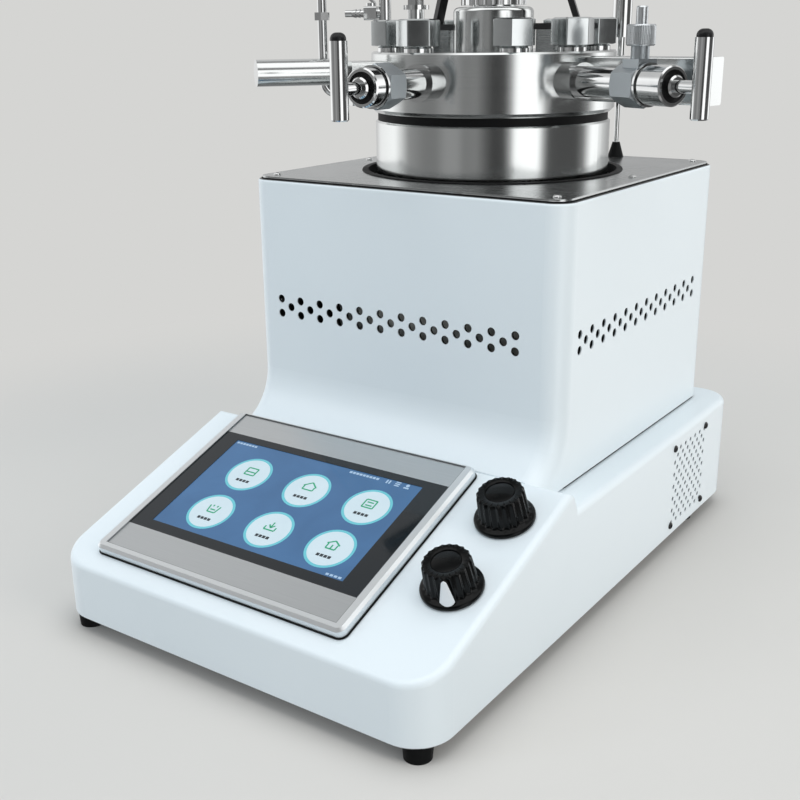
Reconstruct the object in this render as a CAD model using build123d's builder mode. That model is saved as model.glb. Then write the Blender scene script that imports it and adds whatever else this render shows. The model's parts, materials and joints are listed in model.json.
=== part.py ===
from build123d import *
import os
from math import atan2, cos, degrees, pi, radians, sin, sqrt, tan

# Bench hydrothermal reactor: a bolted stirred pressure vessel that stands in a heated cover
# on a sloping control desk.  Millimetres, +Z up, -Y is the operator's side, Z = 0 is the bench.

# ---------------------------------------------------------------- driving dimensions
# Housing
base_width = 286.0
front_height = 37.3          # upright front edge of the desk
slope_angle = 19.2
slope_length = 166.0         # control desk, measured up the slope
step_run = 7.0               # short steep step behind the desk
ledge_height = 78.0
wall = 2.5
base_corner = 24.0
base_edge = 4.5
cover_edge = 2.0
cover_size = 243.0           # square cover round the furnace
cover_setback = 178.5        # front of the cover behind the front edge
rear_margin = 18.5           # ledge behind the cover
cover_top = 257.7
cover_corner = 14.0
flare_radius = 34.0          # cover front runs out into the desk
seam_gap = 1.5               # shadow gap between cover and ledge
lip_height = 10.0
lip_thickness = 2.0
flange_clearance = 7.0       # top flange round the well
# Feet and floor plate
foot_height = 10.0
foot_radius = 9.0
foot_side_inset = 15.0
foot_front_inset = 13.0
foot_rear_inset = 58.0
floor_thickness = 1.5
floor_inset = 1.5
# Vent holes
vent_radius = 2.9
vent_pitch = 17.0
vent_row_gap = 10.2
vent_columns = 12
vent_height = 170.5
vent_offset = -4.0
# Base fan
fan_size = 70.0
fan_depth = 15.0
fan_screw_pitch = 60.0
fan_rear_inset = 89.0
fan_height = 37.5
fan_blades = 7
grille_hole_radius = 1.7
grille_pitch = 9.4
grille_count = 7
# Control desk
hmi_width = 196.0
hmi_height = 148.5
hmi_u = -18.0                # centre of the panel, across the desk
hmi_s = 87.8                 # centre of the panel, up the desk
hmi_seat_side = 10.0         # edge of the panel that rests on the desk
hmi_seat_end = 18.0
hmi_thickness = 6.0
hmi_gasket_thickness = 1.0
hmi_corner = 5.0
hmi_rim_side = 6.6
hmi_rim_front = 5.2
hmi_rim_rear = 2.6
hmi_recess = 0.8
glass_front_strip = 20.3     # plain metal band below the glass
glass_rear_strip = 19.9
glass_thickness = 2.0
display_width = 153.0
display_height = 87.0
display_shift_u = -1.0
display_shift_s = 2.4
module_depth = 22.0
knob_side_inset = 27.5
speed_knob_s = 70.5
heat_knob_s = 131.5
knob_facing = {"speed": 1, "heat": -1}   # 1: pointer down the slope, -1: up the slope
knob_skirt_radius = 18.4
knob_skirt_height = 3.5
knob_foot_radius = 14.6
knob_top_radius = 13.0
knob_height = 20.0
knob_flutes = 16
knob_gap = 0.4
spindle_radius = 3.0
bush_radius = 4.0
pot_radius = 12.0
pot_depth = 12.0
# Top plate
plate_thickness = 1.2
plate_inset = 3.0
seal_proud = 0.7            # the seal shows round the plate as a dark line
top_seal_thickness = 0.6
plate_corner = 11.0
well_radius = 90.0
well_ring_width = 2.4
well_ring_depth = 6.0
well_ring_lip = 0.8
screw_head_radius = 2.6
screw_head_height = 1.5
screw_shank_radius = 1.5
# Furnace
sleeve_bore = 83.0
sleeve_wall = 11.0
sleeve_floor = 12.0
sleeve_top = 252.0
sleeve_base = 64.0
band_thickness = 3.0
insulation_clearance = 8.0
insulation_floor = 20.0
stand_plate = 3.0
stand_leg_radius = 5.0
stand_leg_circle = 88.0
# Vessel
vessel_radius = 82.0
vessel_wall = 20.0
vessel_floor = 22.0
vessel_top = 294.3
liner_wall = 3.0
seal_gap = 5.4
seal_inset = 1.6
lid_radius = 84.5
lid_thickness = 40.0
stud_circle = 71.0
stud_radius = 7.0
stud_depth = 25.0
stud_headings = (210, 257, 311, 346, 30, 75, 112, 148)
washer_radius = 9.4
washer_thickness = 3.6
nut_flats = 25.0
nut_turn = {210: 20, 257: 5, 311: 22, 346: 12, 30: 28, 75: 0, 112: 10, 148: 18}
nut_height = 17.2
# Stirrer drive
drive_radius = 27.5
drive_height = 28.5
dome_radius = 15.0
dome_wall = 3.0
dome_height = 62.0
cup_radius = 22.4
cup_gap = 2.0
cup_height = 36.0
cup_flutes = 24
shaft_radius = 5.0
shaft_end = 110.0            # height of the impeller hub above the shell bottom
running_gap = 0.05
impeller_radius = 26.0
impeller_height = 14.0
motor_radius = 28.0
motor_height = 62.0
bracket_post_x = 41.5
bracket_post_y = 5.0
bracket_post_size = 15.0
bracket_post_height = 13.5
bracket_plate = 4.0
bracket_leg_x = 57.0
bracket_leg_y = 16.5
bracket_leg_width = 7.0
bracket_leg_thickness = 4.0
bracket_top_x = 33.0
bracket_top_y = 8.0
bracket_flange_radius = 36.0
bracket_flange_rise = 84.0   # underside of the motor flange above the lid
# Side ports and needle valves
port_drop = 17.8             # port axis below the lid's top face
port_floor = 79.0            # the boss is let into the lid to this radius
boss_radius = 11.6
boss_end = 100.0
tube_radius = 9.3
port_bore = 2.5
valve_heading = {"front": 272, "side": 335}
front_body_start = 130.0     # radii from the vessel axis, along the port
front_body_length = 18.0
front_nose_end = 161.0
front_bar_at = 183.0
side_body_start = 137.5
side_body_length = 19.5
side_nose_end = 179.5
side_bar_at = 201.0
body_flats = 23.5
bonnet_radius = 11.5
collar_radius = 12.6
groove_radius = 10.5
groove_length = 1.2
collar_length = 1.6
packing_radius = 9.2
packing_depth = 5.0
packing_recess = 2.0
gland_radius = 6.2
gland_rise = 3.0
spindle_stem_radius = 3.7
needle_depth = 6.0
tenon_radius = 2.4
tenon_length = 6.0
bar_radius = 5.2
bar_length = 44.0
bar_lift = 4.5               # the T-bar is pinned a little below its middle
cap_height = 4.5
cap_radius = 4.6
# Sampling valve on the side valve
sample_at = 150.0
sample_pad_start = 143.0
sample_pad_width = 14.0
sample_pad_rise = 14.5       # pad top above the port axis
sample_neck_radius = 5.4
sample_neck_height = 7.2
sample_knob_radius = 9.0
sample_knob_height = 12.0
sample_knob_flutes = 24
sample_stem_radius = 3.6
sample_stem_height = 10.0
# Lifting lug, bar and arm
lug_heading = 231
lug_end = 105.0
lug_width = 34.0
lug_height = 28.0
lug_top_drop = 5.5
lift_bar_radius = 8.6
lift_bar_end = 166.0
lift_bar_drop = 12.0
arm_heading = 351
arm_end = 172.0
arm_width = 14.0
arm_height = 28.0
arm_top_drop = 3.0
# Gas riser
riser_radius = 3.1
riser_reach = 12.5
riser_side = 13.2
riser_drop = 26.5
riser_bend = 9.0
riser_top = 400.0
coupling_radius = 4.6
coupling_height = 363.0
# Furnace probe
probe_x = 45.0
probe_wall_gap = 9.5         # behind the probe, to the outside of the cover
probe_boot_radius = 6.0
probe_boot_height = 11.0
probe_radius = 2.0
probe_sleeve_start = 334.0
probe_sleeve_radius = 3.2
probe_head_start = 347.0
probe_head_end = 402.0
probe_head_radius = 7.2
# Vent valve and relief fitting on the lid
vent_heading = 196
vent_circle = 79.0
vent_riser_radius = 4.3
vent_riser_height = 52.0
vent_port_rise = 25.5
vent_barb_heading = 202
vent_body_start = 5.0        # from the riser's axis
vent_body_end = 15.0
vent_barb_step = 3.0
vent_barb_end = 29.0
vent_lever_thickness = 1.6
relief_heading = 196
relief_circle = 56.0
relief_radius = 5.8
relief_height = 27.5
relief_flange_thickness = 3.0
relief_flange_radius = 9.2
# Mains inlet
inlet_width = 48.0
inlet_height = 58.0
inlet_flange = 2.5
inlet_body_depth = 30.0
inlet_x = 70.0
inlet_z = 40.0
rocker_width = 20.0
rocker_height = 13.0
rocker_gap = 0.4
rocker_rise = 1.5
rocker_tilt = 7.0
rocker_centre = 17.0
socket_centre = -8.0
socket_depth = 18.0
socket_width = 24.0
socket_height = 16.0
# Inside the base
board_length = 150.0
board_width = 84.0
board_thickness = 1.6
board_rise = 6.0
board_shift = -22.0          # from the middle of the panel
board_setback = 78.0
board_post_radius = 3.0
supply_length = 100.0
supply_width = 56.0
supply_height = 32.0
supply_side_gap = 18.0       # from the outside of the left wall
supply_rear_gap = 12.0

# ---------------------------------------------------------------- derived places
side = radians(valve_heading["side"])
reach_right = side_bar_at * cos(side) + bar_radius
base_x = (base_width / 2 - reach_right) / 2
base_depth = cover_setback + cover_size + rear_margin
axis_setback = cover_setback + cover_size / 2
front_y = -(base_depth + inlet_flange + rocker_rise) / 2
rear_y = front_y + base_depth
shell_z = foot_height + floor_thickness
axis_x = base_x
axis_y = front_y + axis_setback
cover_front = axis_y - cover_size / 2
cover_rear = axis_y + cover_size / 2
ledge_z = shell_z + ledge_height
cover_z = shell_z + cover_top
slope = radians(slope_angle)
desk_end_y = front_y + slope_length * cos(slope)
desk_end_z = shell_z + front_height + slope_length * sin(slope)
plate_z = cover_z + top_seal_thickness
plate_top = plate_z + plate_thickness
body_top = shell_z + vessel_top
lid_z = body_top + seal_gap
lid_top = lid_z + lid_thickness
port_z = lid_top - port_drop
knob_u = base_width / 2 - knob_side_inset
knob_s = {"speed": speed_knob_s, "heat": heat_knob_s}
desk_cut_width = hmi_width - 2 * hmi_seat_side
desk_cut_height = hmi_height - 2 * hmi_seat_end
glass_width = hmi_width - 2 * hmi_rim_side
glass_height = hmi_height - hmi_rim_front - hmi_rim_rear - glass_front_strip - glass_rear_strip
glass_shift = (hmi_rim_front + glass_front_strip - hmi_rim_rear - glass_rear_strip) / 2
fan_x = base_x + base_width / 2 - wall
fan_centre = (rear_y - fan_rear_inset, shell_z + fan_height)
inlet_centre = (base_x + inlet_x, shell_z + inlet_z)
probe_point = (axis_x + probe_x, cover_rear - probe_wall_gap)
body_start = {"front": front_body_start, "side": side_body_start}
body_length = {"front": front_body_length, "side": side_body_length}
nose_end = {"front": front_nose_end, "side": side_nose_end}
bar_radius_at = {"front": front_bar_at, "side": side_bar_at}

desk = Plane(
    origin=(base_x, front_y, shell_z + front_height),
    x_dir=(1, 0, 0),
    z_dir=(0, -sin(slope), cos(slope)),
)
axis = Plane(origin=(axis_x, axis_y, 0))


def round_the_axis(heading, radius, height=0.0):
    """Point at a heading (degrees from +X, anticlockwise) round the vessel axis."""
    angle = radians(heading)
    return (axis_x + radius * cos(angle), axis_y + radius * sin(angle), height)


def outward(heading, height, radius=0.0):
    """Plane that faces outwards at a heading: local X to the left, local Y up."""
    angle = radians(heading)
    return Plane(
        origin=round_the_axis(heading, radius, height),
        x_dir=(-sin(angle), cos(angle), 0),
        z_dir=(cos(angle), sin(angle), 0),
    )


# ---------------------------------------------------------------- housing
def desk_block(inset, depth_down, rim=0.0):
    """Front wedge under the control desk, with all its walls moved in by inset."""
    corner_y = front_y + inset
    drop = inset / cos(slope)
    rear = desk_end_y + step_run - inset
    with BuildPart() as block:
        with BuildSketch(Plane.YZ.offset(base_x)):
            with BuildLine():
                Polyline(
                    (corner_y, shell_z - depth_down),
                    (corner_y, shell_z + front_height + inset * tan(slope) - drop),
                    (desk_end_y - inset / 2, desk_end_z - drop - inset / 2 * tan(slope)),
                    (rear, ledge_z - inset),
                    (rear, shell_z - depth_down),
                    close=True,
                )
            make_face()
        extrude(amount=base_width / 2 - inset, both=True)
        fillet(block.edges().filter_by(Axis.Z).group_by(Axis.Y)[0], base_corner - inset)
        if rim > 0:
            top = block.faces().filter_by(lambda f: f.normal_at().dot(desk.z_dir) > 0.999)[0]
            fillet(top.edges(), rim)
    return block.part


def ledge_block(inset, depth_down, rim=0.0):
    """Rear part of the base, under the ledge."""
    front = desk_end_y - 20.0
    with BuildPart() as block:
        with BuildSketch(Plane.XY.offset(shell_z - depth_down)):
            with Locations((base_x, (front + rear_y - inset) / 2)):
                Rectangle(base_width - 2 * inset, rear_y - inset - front)
        extrude(amount=ledge_height + depth_down - inset)
        fillet(block.edges().filter_by(Axis.Z).group_by(Axis.Y)[-1], base_corner - inset)
        if rim > 0:
            top = block.faces().sort_by(Axis.Z)[-1]
            fillet(top.edges().filter_by(lambda e: e.center().Y > front + 1), rim)
    return block.part


def cover_block(inset, bottom, rim=0.0):
    """Cover round the furnace, whose front runs out into the desk in one curve."""
    front = cover_front + inset
    radius = flare_radius + inset
    corner_z = shell_z + front_height + (cover_front - front_y) * tan(slope)
    reach = flare_radius * tan(radians(90 - slope_angle) / 2)
    centre_y = cover_front - flare_radius
    centre_z = corner_z + reach
    end_angle = slope - pi / 2
    middle = (centre_y + radius * cos(end_angle / 2), centre_z + radius * sin(end_angle / 2))
    end = (centre_y + radius * cos(end_angle), centre_z + radius * sin(end_angle))
    top = cover_z - inset
    with BuildPart() as block:
        with BuildSketch(Plane.YZ.offset(base_x)):
            with BuildLine():
                ThreePointArc((front, centre_z), middle, end)
                Polyline(
                    end,
                    (end[0], bottom),
                    (cover_rear - inset, bottom),
                    (cover_rear - inset, top),
                    (front, top),
                    (front, centre_z),
                )
            make_face()
        extrude(amount=cover_size / 2 - inset, both=True)
        corners = block.edges().filter_by(Axis.Z).filter_by(lambda e: e.center().Y > front - 0.1)
        curved = block.edges().filter_by(GeomType.CIRCLE)
        fillet(corners + curved, cover_corner - inset)
        if rim > 0:
            fillet(block.faces().sort_by(Axis.Z)[-1].edges(), rim)
    return block.part


cover_inner = cover_size - 2 * wall
plate_size = cover_size - 2 * plate_inset
flange_opening = 2 * (well_radius + flange_clearance)
screw_span = (cover_inner + flange_opening) / 4
# four corners, the middle of each side and the middle of the rear
screw_spots = [
    (axis_x + i * screw_span, axis_y + j * screw_span)
    for i, j in ((-1, -1), (-1, 0), (-1, 1), (0, 1), (1, 1), (1, 0), (1, -1))
]
vent_z = shell_z + vent_height

with BuildPart() as housing:
    add(desk_block(0, 0, base_edge))
    add(ledge_block(0, 0, base_edge))
    add(cover_block(0, ledge_z + seam_gap, cover_edge))
    add(desk_block(wall, 5), mode=Mode.SUBTRACT)
    add(ledge_block(wall, 5), mode=Mode.SUBTRACT)
    add(cover_block(wall, ledge_z - 2 * wall), mode=Mode.SUBTRACT)
    # lip of the ledge that stands up inside the cover and closes the seam
    with BuildSketch(Plane.XY.offset(ledge_z - wall)):
        with Locations((axis_x, (desk_end_y + cover_rear - wall) / 2)):
            Rectangle(cover_inner, cover_rear - wall - desk_end_y)
        fillet(vertices().group_by(Axis.Y)[-1], cover_corner - wall)
        offset(amount=-lip_thickness, mode=Mode.SUBTRACT)
    extrude(amount=lip_height)
    # opening inside the folded top flange, with the holes for the plate screws and the probe
    with BuildSketch(Plane.XY.offset(cover_z - wall)):
        with Locations((axis_x, axis_y)):
            RectangleRounded(flange_opening, flange_opening, plate_corner)
        with Locations(*screw_spots):
            Circle(screw_shank_radius)
        with Locations(probe_point):
            Circle(probe_radius)
    extrude(amount=wall, mode=Mode.SUBTRACT)
    # vent rows on all four sides of the cover
    for place in (
        Plane((axis_x + vent_offset, axis_y, vent_z), (1, 0, 0), (0, -1, 0)),
        Plane((axis_x, axis_y + vent_offset, vent_z), (0, 1, 0), (1, 0, 0)),
    ):
        with BuildSketch(place):
            with GridLocations(vent_pitch, vent_row_gap, vent_columns, 2):
                Circle(vent_radius)
            with GridLocations(vent_pitch, vent_row_gap, vent_columns - 1, 1):
                Circle(vent_radius)
        extrude(amount=cover_size, both=True, mode=Mode.SUBTRACT)
    # fan grille and its screw holes
    with BuildSketch(Plane((fan_x, *fan_centre), (0, 1, 0), (1, 0, 0))):
        for count in (grille_count, grille_count - 1):
            with GridLocations(grille_pitch, grille_pitch, count, count):
                Circle(grille_hole_radius)
        with GridLocations(fan_screw_pitch, fan_screw_pitch, 2, 2):
            Circle(screw_shank_radius)
    extrude(amount=wall, mode=Mode.SUBTRACT)
    # desk: display cut-out and the two control bushes
    with BuildSketch(desk):
        with Locations((hmi_u, hmi_s)):
            Rectangle(desk_cut_width, desk_cut_height)
        with Locations(*[(knob_u, s) for s in knob_s.values()]):
            Circle(bush_radius)
    extrude(amount=-3 * wall, mode=Mode.SUBTRACT)
    # rear: mains inlet
    with BuildSketch(Plane((inlet_centre[0], rear_y, inlet_centre[1]), (-1, 0, 0), (0, 1, 0))):
        Rectangle(inlet_width - 8, inlet_height - 8)
    extrude(amount=-2 * wall, mode=Mode.SUBTRACT)

with BuildPart() as floor_plate:
    with BuildSketch(Plane.XY.offset(foot_height)):
        with Locations((base_x, (front_y + rear_y) / 2)):
            RectangleRounded(
                base_width - 2 * floor_inset, base_depth - 2 * floor_inset, base_corner - floor_inset
            )
    extrude(amount=floor_thickness)

foot_spots = [
    (base_x + i * (base_width / 2 - foot_side_inset), y)
    for i in (-1, 1)
    for y in (front_y + foot_front_inset, rear_y - foot_rear_inset)
]
with BuildPart() as feet:
    with BuildSketch():
        with Locations(*foot_spots):
            Circle(foot_radius - 1)
    extrude(amount=foot_height, taper=-4)
    with BuildSketch():
        with Locations(*foot_spots):
            Circle(foot_radius / 2)
    extrude(amount=foot_height / 2, mode=Mode.SUBTRACT)

# ---------------------------------------------------------------- base fan
fan_face = Plane((fan_x, *fan_centre), (0, 1, 0), (1, 0, 0))
fan_bore = fan_size / 2 - 2.5
hub_plate = 2.0
fan_hub_radius = 13.0
fan_pin_radius = 2.0
with BuildPart() as fan_frame:
    with BuildSketch(fan_face):
        RectangleRounded(fan_size, fan_size, 4)
        Circle(fan_bore, mode=Mode.SUBTRACT)
        with GridLocations(fan_screw_pitch, fan_screw_pitch, 2, 2):
            Circle(screw_shank_radius, mode=Mode.SUBTRACT)
    extrude(amount=-fan_depth)
    with BuildSketch(fan_face.offset(-fan_depth)):
        Circle(fan_hub_radius)
        with PolarLocations(0, 4, start_angle=45):
            with Locations((fan_bore / 2, 0)):
                Rectangle(fan_bore + 2, 4)
    extrude(amount=hub_plate)
    with BuildSketch(fan_face.offset(-fan_depth)):
        Circle(fan_pin_radius)
    extrude(amount=fan_depth - 4)

rotor_start = -fan_depth + hub_plate + 0.4
with BuildPart() as fan_rotor:
    with BuildSketch(fan_face.offset(rotor_start)):
        Circle(fan_hub_radius)
    extrude(amount=fan_depth - hub_plate - 2.4)
    fillet(fan_rotor.edges().sort_by(Axis.X)[-1], 1.5)
    for k in range(fan_blades):
        turn = 2 * pi * k / fan_blades
        spoke = Vector(0, cos(turn), sin(turn))
        tilt = Vector(1, -0.9 * sin(turn), 0.9 * cos(turn)).normalized()
        root = Vector(fan_x - fan_depth / 2, *fan_centre) + spoke * (fan_hub_radius - 1)
        with BuildSketch(Plane(root, x_dir=tilt, z_dir=spoke)):
            SlotOverall(12, 1.6)
        extrude(amount=fan_bore - fan_hub_radius - 1)
    with BuildSketch(fan_face.offset(rotor_start)):
        Circle(fan_pin_radius + running_gap)
    extrude(amount=fan_depth - 5, mode=Mode.SUBTRACT)

# ---------------------------------------------------------------- control desk
panel = Plane(desk.from_local_coords(Vector(hmi_u, hmi_s, 0)), desk.x_dir, desk.z_dir)
with BuildPart() as hmi_gasket:
    with BuildSketch(panel):
        RectangleRounded(hmi_width - 0.6, hmi_height - 0.6, hmi_corner)
        Rectangle(desk_cut_width, desk_cut_height, mode=Mode.SUBTRACT)
    extrude(amount=hmi_gasket_thickness)

bezel_top = hmi_gasket_thickness + hmi_thickness
recess_z = bezel_top - hmi_recess
module_width = display_width + 14
module_height = display_height + 10
glass_plane = Plane(panel.from_local_coords(Vector(0, glass_shift, 0)), desk.x_dir, desk.z_dir)
display_plane = Plane(
    panel.from_local_coords(Vector(display_shift_u, display_shift_s, 0)), desk.x_dir, desk.z_dir
)
with BuildPart() as hmi_bezel:
    with BuildSketch(panel.offset(hmi_gasket_thickness)):
        RectangleRounded(hmi_width, hmi_height, hmi_corner)
    extrude(amount=hmi_thickness)
    rim_face = hmi_bezel.faces().sort_by(lambda f: f.center().dot(desk.z_dir))[-1]
    chamfer(rim_face.edges(), 1.8)
    with BuildSketch(panel.offset(bezel_top)):
        with Locations((0, (hmi_rim_front - hmi_rim_rear) / 2)):
            Rectangle(glass_width, hmi_height - hmi_rim_front - hmi_rim_rear)
    extrude(amount=-hmi_recess, mode=Mode.SUBTRACT)
    with BuildSketch(glass_plane.offset(recess_z)):
        Rectangle(glass_width, glass_height)
    extrude(amount=-glass_thickness, mode=Mode.SUBTRACT)
    with BuildSketch(display_plane):
        Rectangle(module_width, module_height)
    extrude(amount=bezel_top, mode=Mode.SUBTRACT)

glass_back = recess_z - glass_thickness
with BuildPart() as hmi_glass:
    with BuildSketch(glass_plane.offset(glass_back)):
        Rectangle(glass_width, glass_height)
    extrude(amount=glass_thickness)
    with BuildSketch(display_plane.offset(glass_back)):
        Rectangle(display_width, display_height)
    extrude(amount=glass_thickness, mode=Mode.SUBTRACT)

with BuildPart() as hmi_display:
    with BuildSketch(display_plane.offset(glass_back)):
        Rectangle(display_width, display_height)
    extrude(amount=glass_thickness - 0.3)
    with BuildSketch(display_plane.offset(glass_back)):
        Rectangle(module_width, module_height)
    extrude(amount=-module_depth)

knobs = {}
spindles = {}
for name, s in knob_s.items():
    across = desk.x_dir * knob_facing[name]
    foot = Plane(desk.from_local_coords(Vector(knob_u, s, 0)), across, desk.z_dir)
    with BuildPart() as pointer:
        with BuildSketch(Plane(foot.origin, foot.y_dir, foot.x_dir)):
            with BuildLine():
                Polyline(
                    (-11.0, knob_skirt_height),
                    (-knob_skirt_radius + 0.4, knob_skirt_height),
                    (-knob_top_radius - 0.6, knob_height - 0.5),
                    (-11.0, knob_height - 0.5),
                    close=True,
                )
            make_face()
        extrude(amount=4, both=True)
        with BuildSketch(foot):
            with BuildLine():
                Polyline((-3.6, -knob_skirt_radius), (3.6, -knob_skirt_radius), (0.6, -10), (-0.6, -10),
                         close=True)
            make_face()
        extrude(amount=knob_height, mode=Mode.INTERSECT)
    with BuildPart() as knob:
        with BuildSketch(foot.offset(knob_gap)):
            Circle(knob_skirt_radius)
        extrude(amount=knob_skirt_height)
        chamfer(knob.edges().sort_by(lambda e: e.center().dot(desk.z_dir))[-1], 1.2)
        with BuildSketch(foot.offset(knob_gap)):
            Circle(knob_foot_radius)
        rise = knob_height - knob_gap
        lean = degrees(atan2(knob_foot_radius - knob_top_radius, rise))
        extrude(amount=rise, taper=lean)
        with BuildSketch(foot.offset(knob_skirt_height)):
            with PolarLocations(knob_foot_radius + 0.9, knob_flutes):
                Circle(1.9)
        extrude(amount=knob_height, mode=Mode.SUBTRACT)
        with BuildSketch(foot.offset(knob_height)):
            Circle(knob_top_radius - 2.4)
            Circle(knob_top_radius - 5.4, mode=Mode.SUBTRACT)
        extrude(amount=-1.2, mode=Mode.SUBTRACT)
        add(pointer.part)
        with BuildSketch(foot):
            Circle(spindle_radius)
        extrude(amount=knob_height - 6, mode=Mode.SUBTRACT)
    knobs[name] = knob
    with BuildPart() as spindle:
        with BuildSketch(foot.offset(-wall - pot_depth + 2)):
            Circle(spindle_radius)
        extrude(amount=wall + pot_depth - 2 + knob_height - 6)
    spindles[name] = spindle

with BuildPart() as dial_controls:
    for s in knob_s.values():
        foot = Plane(desk.from_local_coords(Vector(knob_u, s, 0)), desk.x_dir, desk.z_dir)
        with BuildSketch(foot.offset(-wall)):
            Circle(pot_radius)
        extrude(amount=-pot_depth)
        with BuildSketch(foot.offset(-wall)):
            Circle(bush_radius)
        extrude(amount=wall)
        with BuildSketch(foot):
            Circle(spindle_radius + running_gap)
        extrude(amount=-(wall + pot_depth - 2), mode=Mode.SUBTRACT)

# ---------------------------------------------------------------- inside the base
board_spot = (base_x + hmi_u + board_shift, front_y + board_setback)
post_inset = 5.0
chip_length = 18.0
chip_width = 14.0
chip_height = 9.0
with BuildPart() as control_board:
    with BuildSketch(Plane.XY.offset(shell_z + board_rise)):
        with Locations(board_spot):
            Rectangle(board_length, board_width)
    extrude(amount=board_thickness)
    with BuildSketch(Plane.XY.offset(shell_z)):
        with Locations(board_spot):
            with GridLocations(board_length - 2 * post_inset, board_width - 2 * post_inset, 2, 2):
                Circle(board_post_radius)
    extrude(amount=board_rise)
    with BuildSketch(Plane.XY.offset(shell_z + board_rise + board_thickness)):
        with Locations(board_spot):
            with GridLocations(2 * chip_length, 2 * chip_width + 2, 4, 2):
                Rectangle(chip_length, chip_width)
    extrude(amount=chip_height)

supply_left = base_x - base_width / 2 + supply_side_gap
with BuildPart() as power_supply:
    with BuildSketch(Plane.XY.offset(shell_z)):
        with Locations((supply_left + supply_length / 2, rear_y - supply_rear_gap - supply_width / 2)):
            Rectangle(supply_length, supply_width)
    extrude(amount=supply_height)
    chamfer(power_supply.edges().filter_by(Axis.X).group_by(Axis.Z)[-1], 3)

# ---------------------------------------------------------------- mains inlet and switch
inlet_face = Plane((inlet_centre[0], rear_y, inlet_centre[1]), (-1, 0, 0), (0, 1, 0))
rocker_pin = 1.2
with BuildPart() as power_inlet:
    with BuildSketch(inlet_face):
        RectangleRounded(inlet_width, inlet_height, 3)
    extrude(amount=inlet_flange)
    with BuildSketch(inlet_face):
        Rectangle(inlet_width - 8, inlet_height - 8)
    extrude(amount=-inlet_body_depth)
    with BuildSketch(inlet_face.offset(inlet_flange)):
        with Locations((0, socket_centre)):
            Rectangle(socket_width, socket_height)
            chamfer(vertices().group_by(Axis.Z)[-1], 4)
    extrude(amount=-socket_depth, mode=Mode.SUBTRACT)
    with BuildSketch(inlet_face.offset(inlet_flange - socket_depth)):
        with Locations((-7, socket_centre - 2), (7, socket_centre - 2), (0, socket_centre + 2)):
            Rectangle(2, 4)
    extrude(amount=socket_depth - 5)
    with BuildSketch(inlet_face.offset(inlet_flange)):
        with Locations((0, rocker_centre)):
            Rectangle(rocker_width + 2 * rocker_gap, rocker_height + 2 * rocker_gap)
    extrude(amount=-16, mode=Mode.SUBTRACT)
    pin_axis = Plane((inlet_centre[0], rear_y - 4, inlet_centre[1] + rocker_centre), (0, 1, 0), (1, 0, 0))
    with BuildSketch(pin_axis):
        Circle(rocker_pin + running_gap)
    extrude(amount=rocker_width / 2 + 2, both=True, mode=Mode.SUBTRACT)

rocker_tip = inlet_flange + rocker_rise + 4
with BuildPart() as switch_rocker:
    tilt = radians(rocker_tilt)
    swing = Plane(pin_axis.origin, (0, cos(tilt), sin(tilt)), (1, 0, 0))
    with BuildSketch(swing):
        with BuildLine():
            half = rocker_height / 2 - 0.9
            tip = (rocker_tip - half * sin(tilt)) / cos(tilt)
            face = Polyline((tip, -half), (tip - 1.5, 0), (tip, half))
            Polyline(face @ 1, (-4, half - 2), (-4, 2 - half), face @ 0)
        make_face()
    extrude(amount=rocker_width / 2, both=True)
    with BuildSketch(pin_axis):
        Circle(rocker_pin)
    extrude(amount=rocker_width / 2 + 1.5, both=True)

# ---------------------------------------------------------------- furnace top
with BuildPart() as top_seal:
    with BuildSketch(Plane.XY.offset(cover_z)):
        with Locations((axis_x, axis_y)):
            seal_size = plate_size + 2 * seal_proud
            RectangleRounded(seal_size, seal_size, plate_corner + seal_proud)
            RectangleRounded(flange_opening, flange_opening, plate_corner, mode=Mode.SUBTRACT)
        with Locations(*screw_spots):
            Circle(screw_shank_radius, mode=Mode.SUBTRACT)
        with Locations(probe_point):
            Circle(probe_radius, mode=Mode.SUBTRACT)
    extrude(amount=top_seal_thickness)

with BuildPart() as top_plate:
    with BuildSketch(Plane.XY.offset(plate_z)):
        with Locations((axis_x, axis_y)):
            RectangleRounded(plate_size, plate_size, plate_corner)
            Circle(well_radius, mode=Mode.SUBTRACT)
        with Locations(*screw_spots):
            Circle(screw_shank_radius, mode=Mode.SUBTRACT)
        with Locations(probe_point):
            Circle(probe_radius, mode=Mode.SUBTRACT)
    extrude(amount=plate_thickness)

with BuildPart() as panel_screws:
    with BuildSketch(Plane.XY.offset(plate_top)):
        with Locations(*screw_spots):
            Circle(screw_head_radius)
    extrude(amount=screw_head_height)
    chamfer(panel_screws.faces().group_by(Axis.Z)[-1].edges(), 0.6)
    with BuildSketch(Plane.XY.offset(cover_z - wall)):
        with Locations(*screw_spots):
            Circle(screw_shank_radius)
    extrude(amount=plate_top - cover_z + wall)
    for depth, thickness, size in (
        (wall, screw_head_height, screw_head_radius),
        (wall, -wall - fan_depth, screw_shank_radius),
    ):
        with BuildSketch(fan_face.offset(depth)):
            with GridLocations(fan_screw_pitch, fan_screw_pitch, 2, 2):
                Circle(size)
        extrude(amount=thickness)


def turned(points, place=None):
    """Solid of revolution round the vessel axis from (radius, height) points."""
    section = place or Plane(axis.origin, (1, 0, 0), (0, -1, 0))
    with BuildPart() as piece:
        with BuildSketch(section):
            with BuildLine():
                Polyline(*points, close=True)
            make_face()
        revolve(axis=Axis(section.origin, section.y_dir))
    return piece


ring_inner = well_radius - well_ring_width + 0.4
well_ring = turned([
    (ring_inner, plate_top - well_ring_depth),
    (well_radius, plate_top - well_ring_depth),
    (well_radius, plate_top),
    (well_radius + well_ring_width, plate_top),
    (well_radius + well_ring_width - 0.4, plate_top + well_ring_lip),
    (ring_inner, plate_top + well_ring_lip),
])

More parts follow.
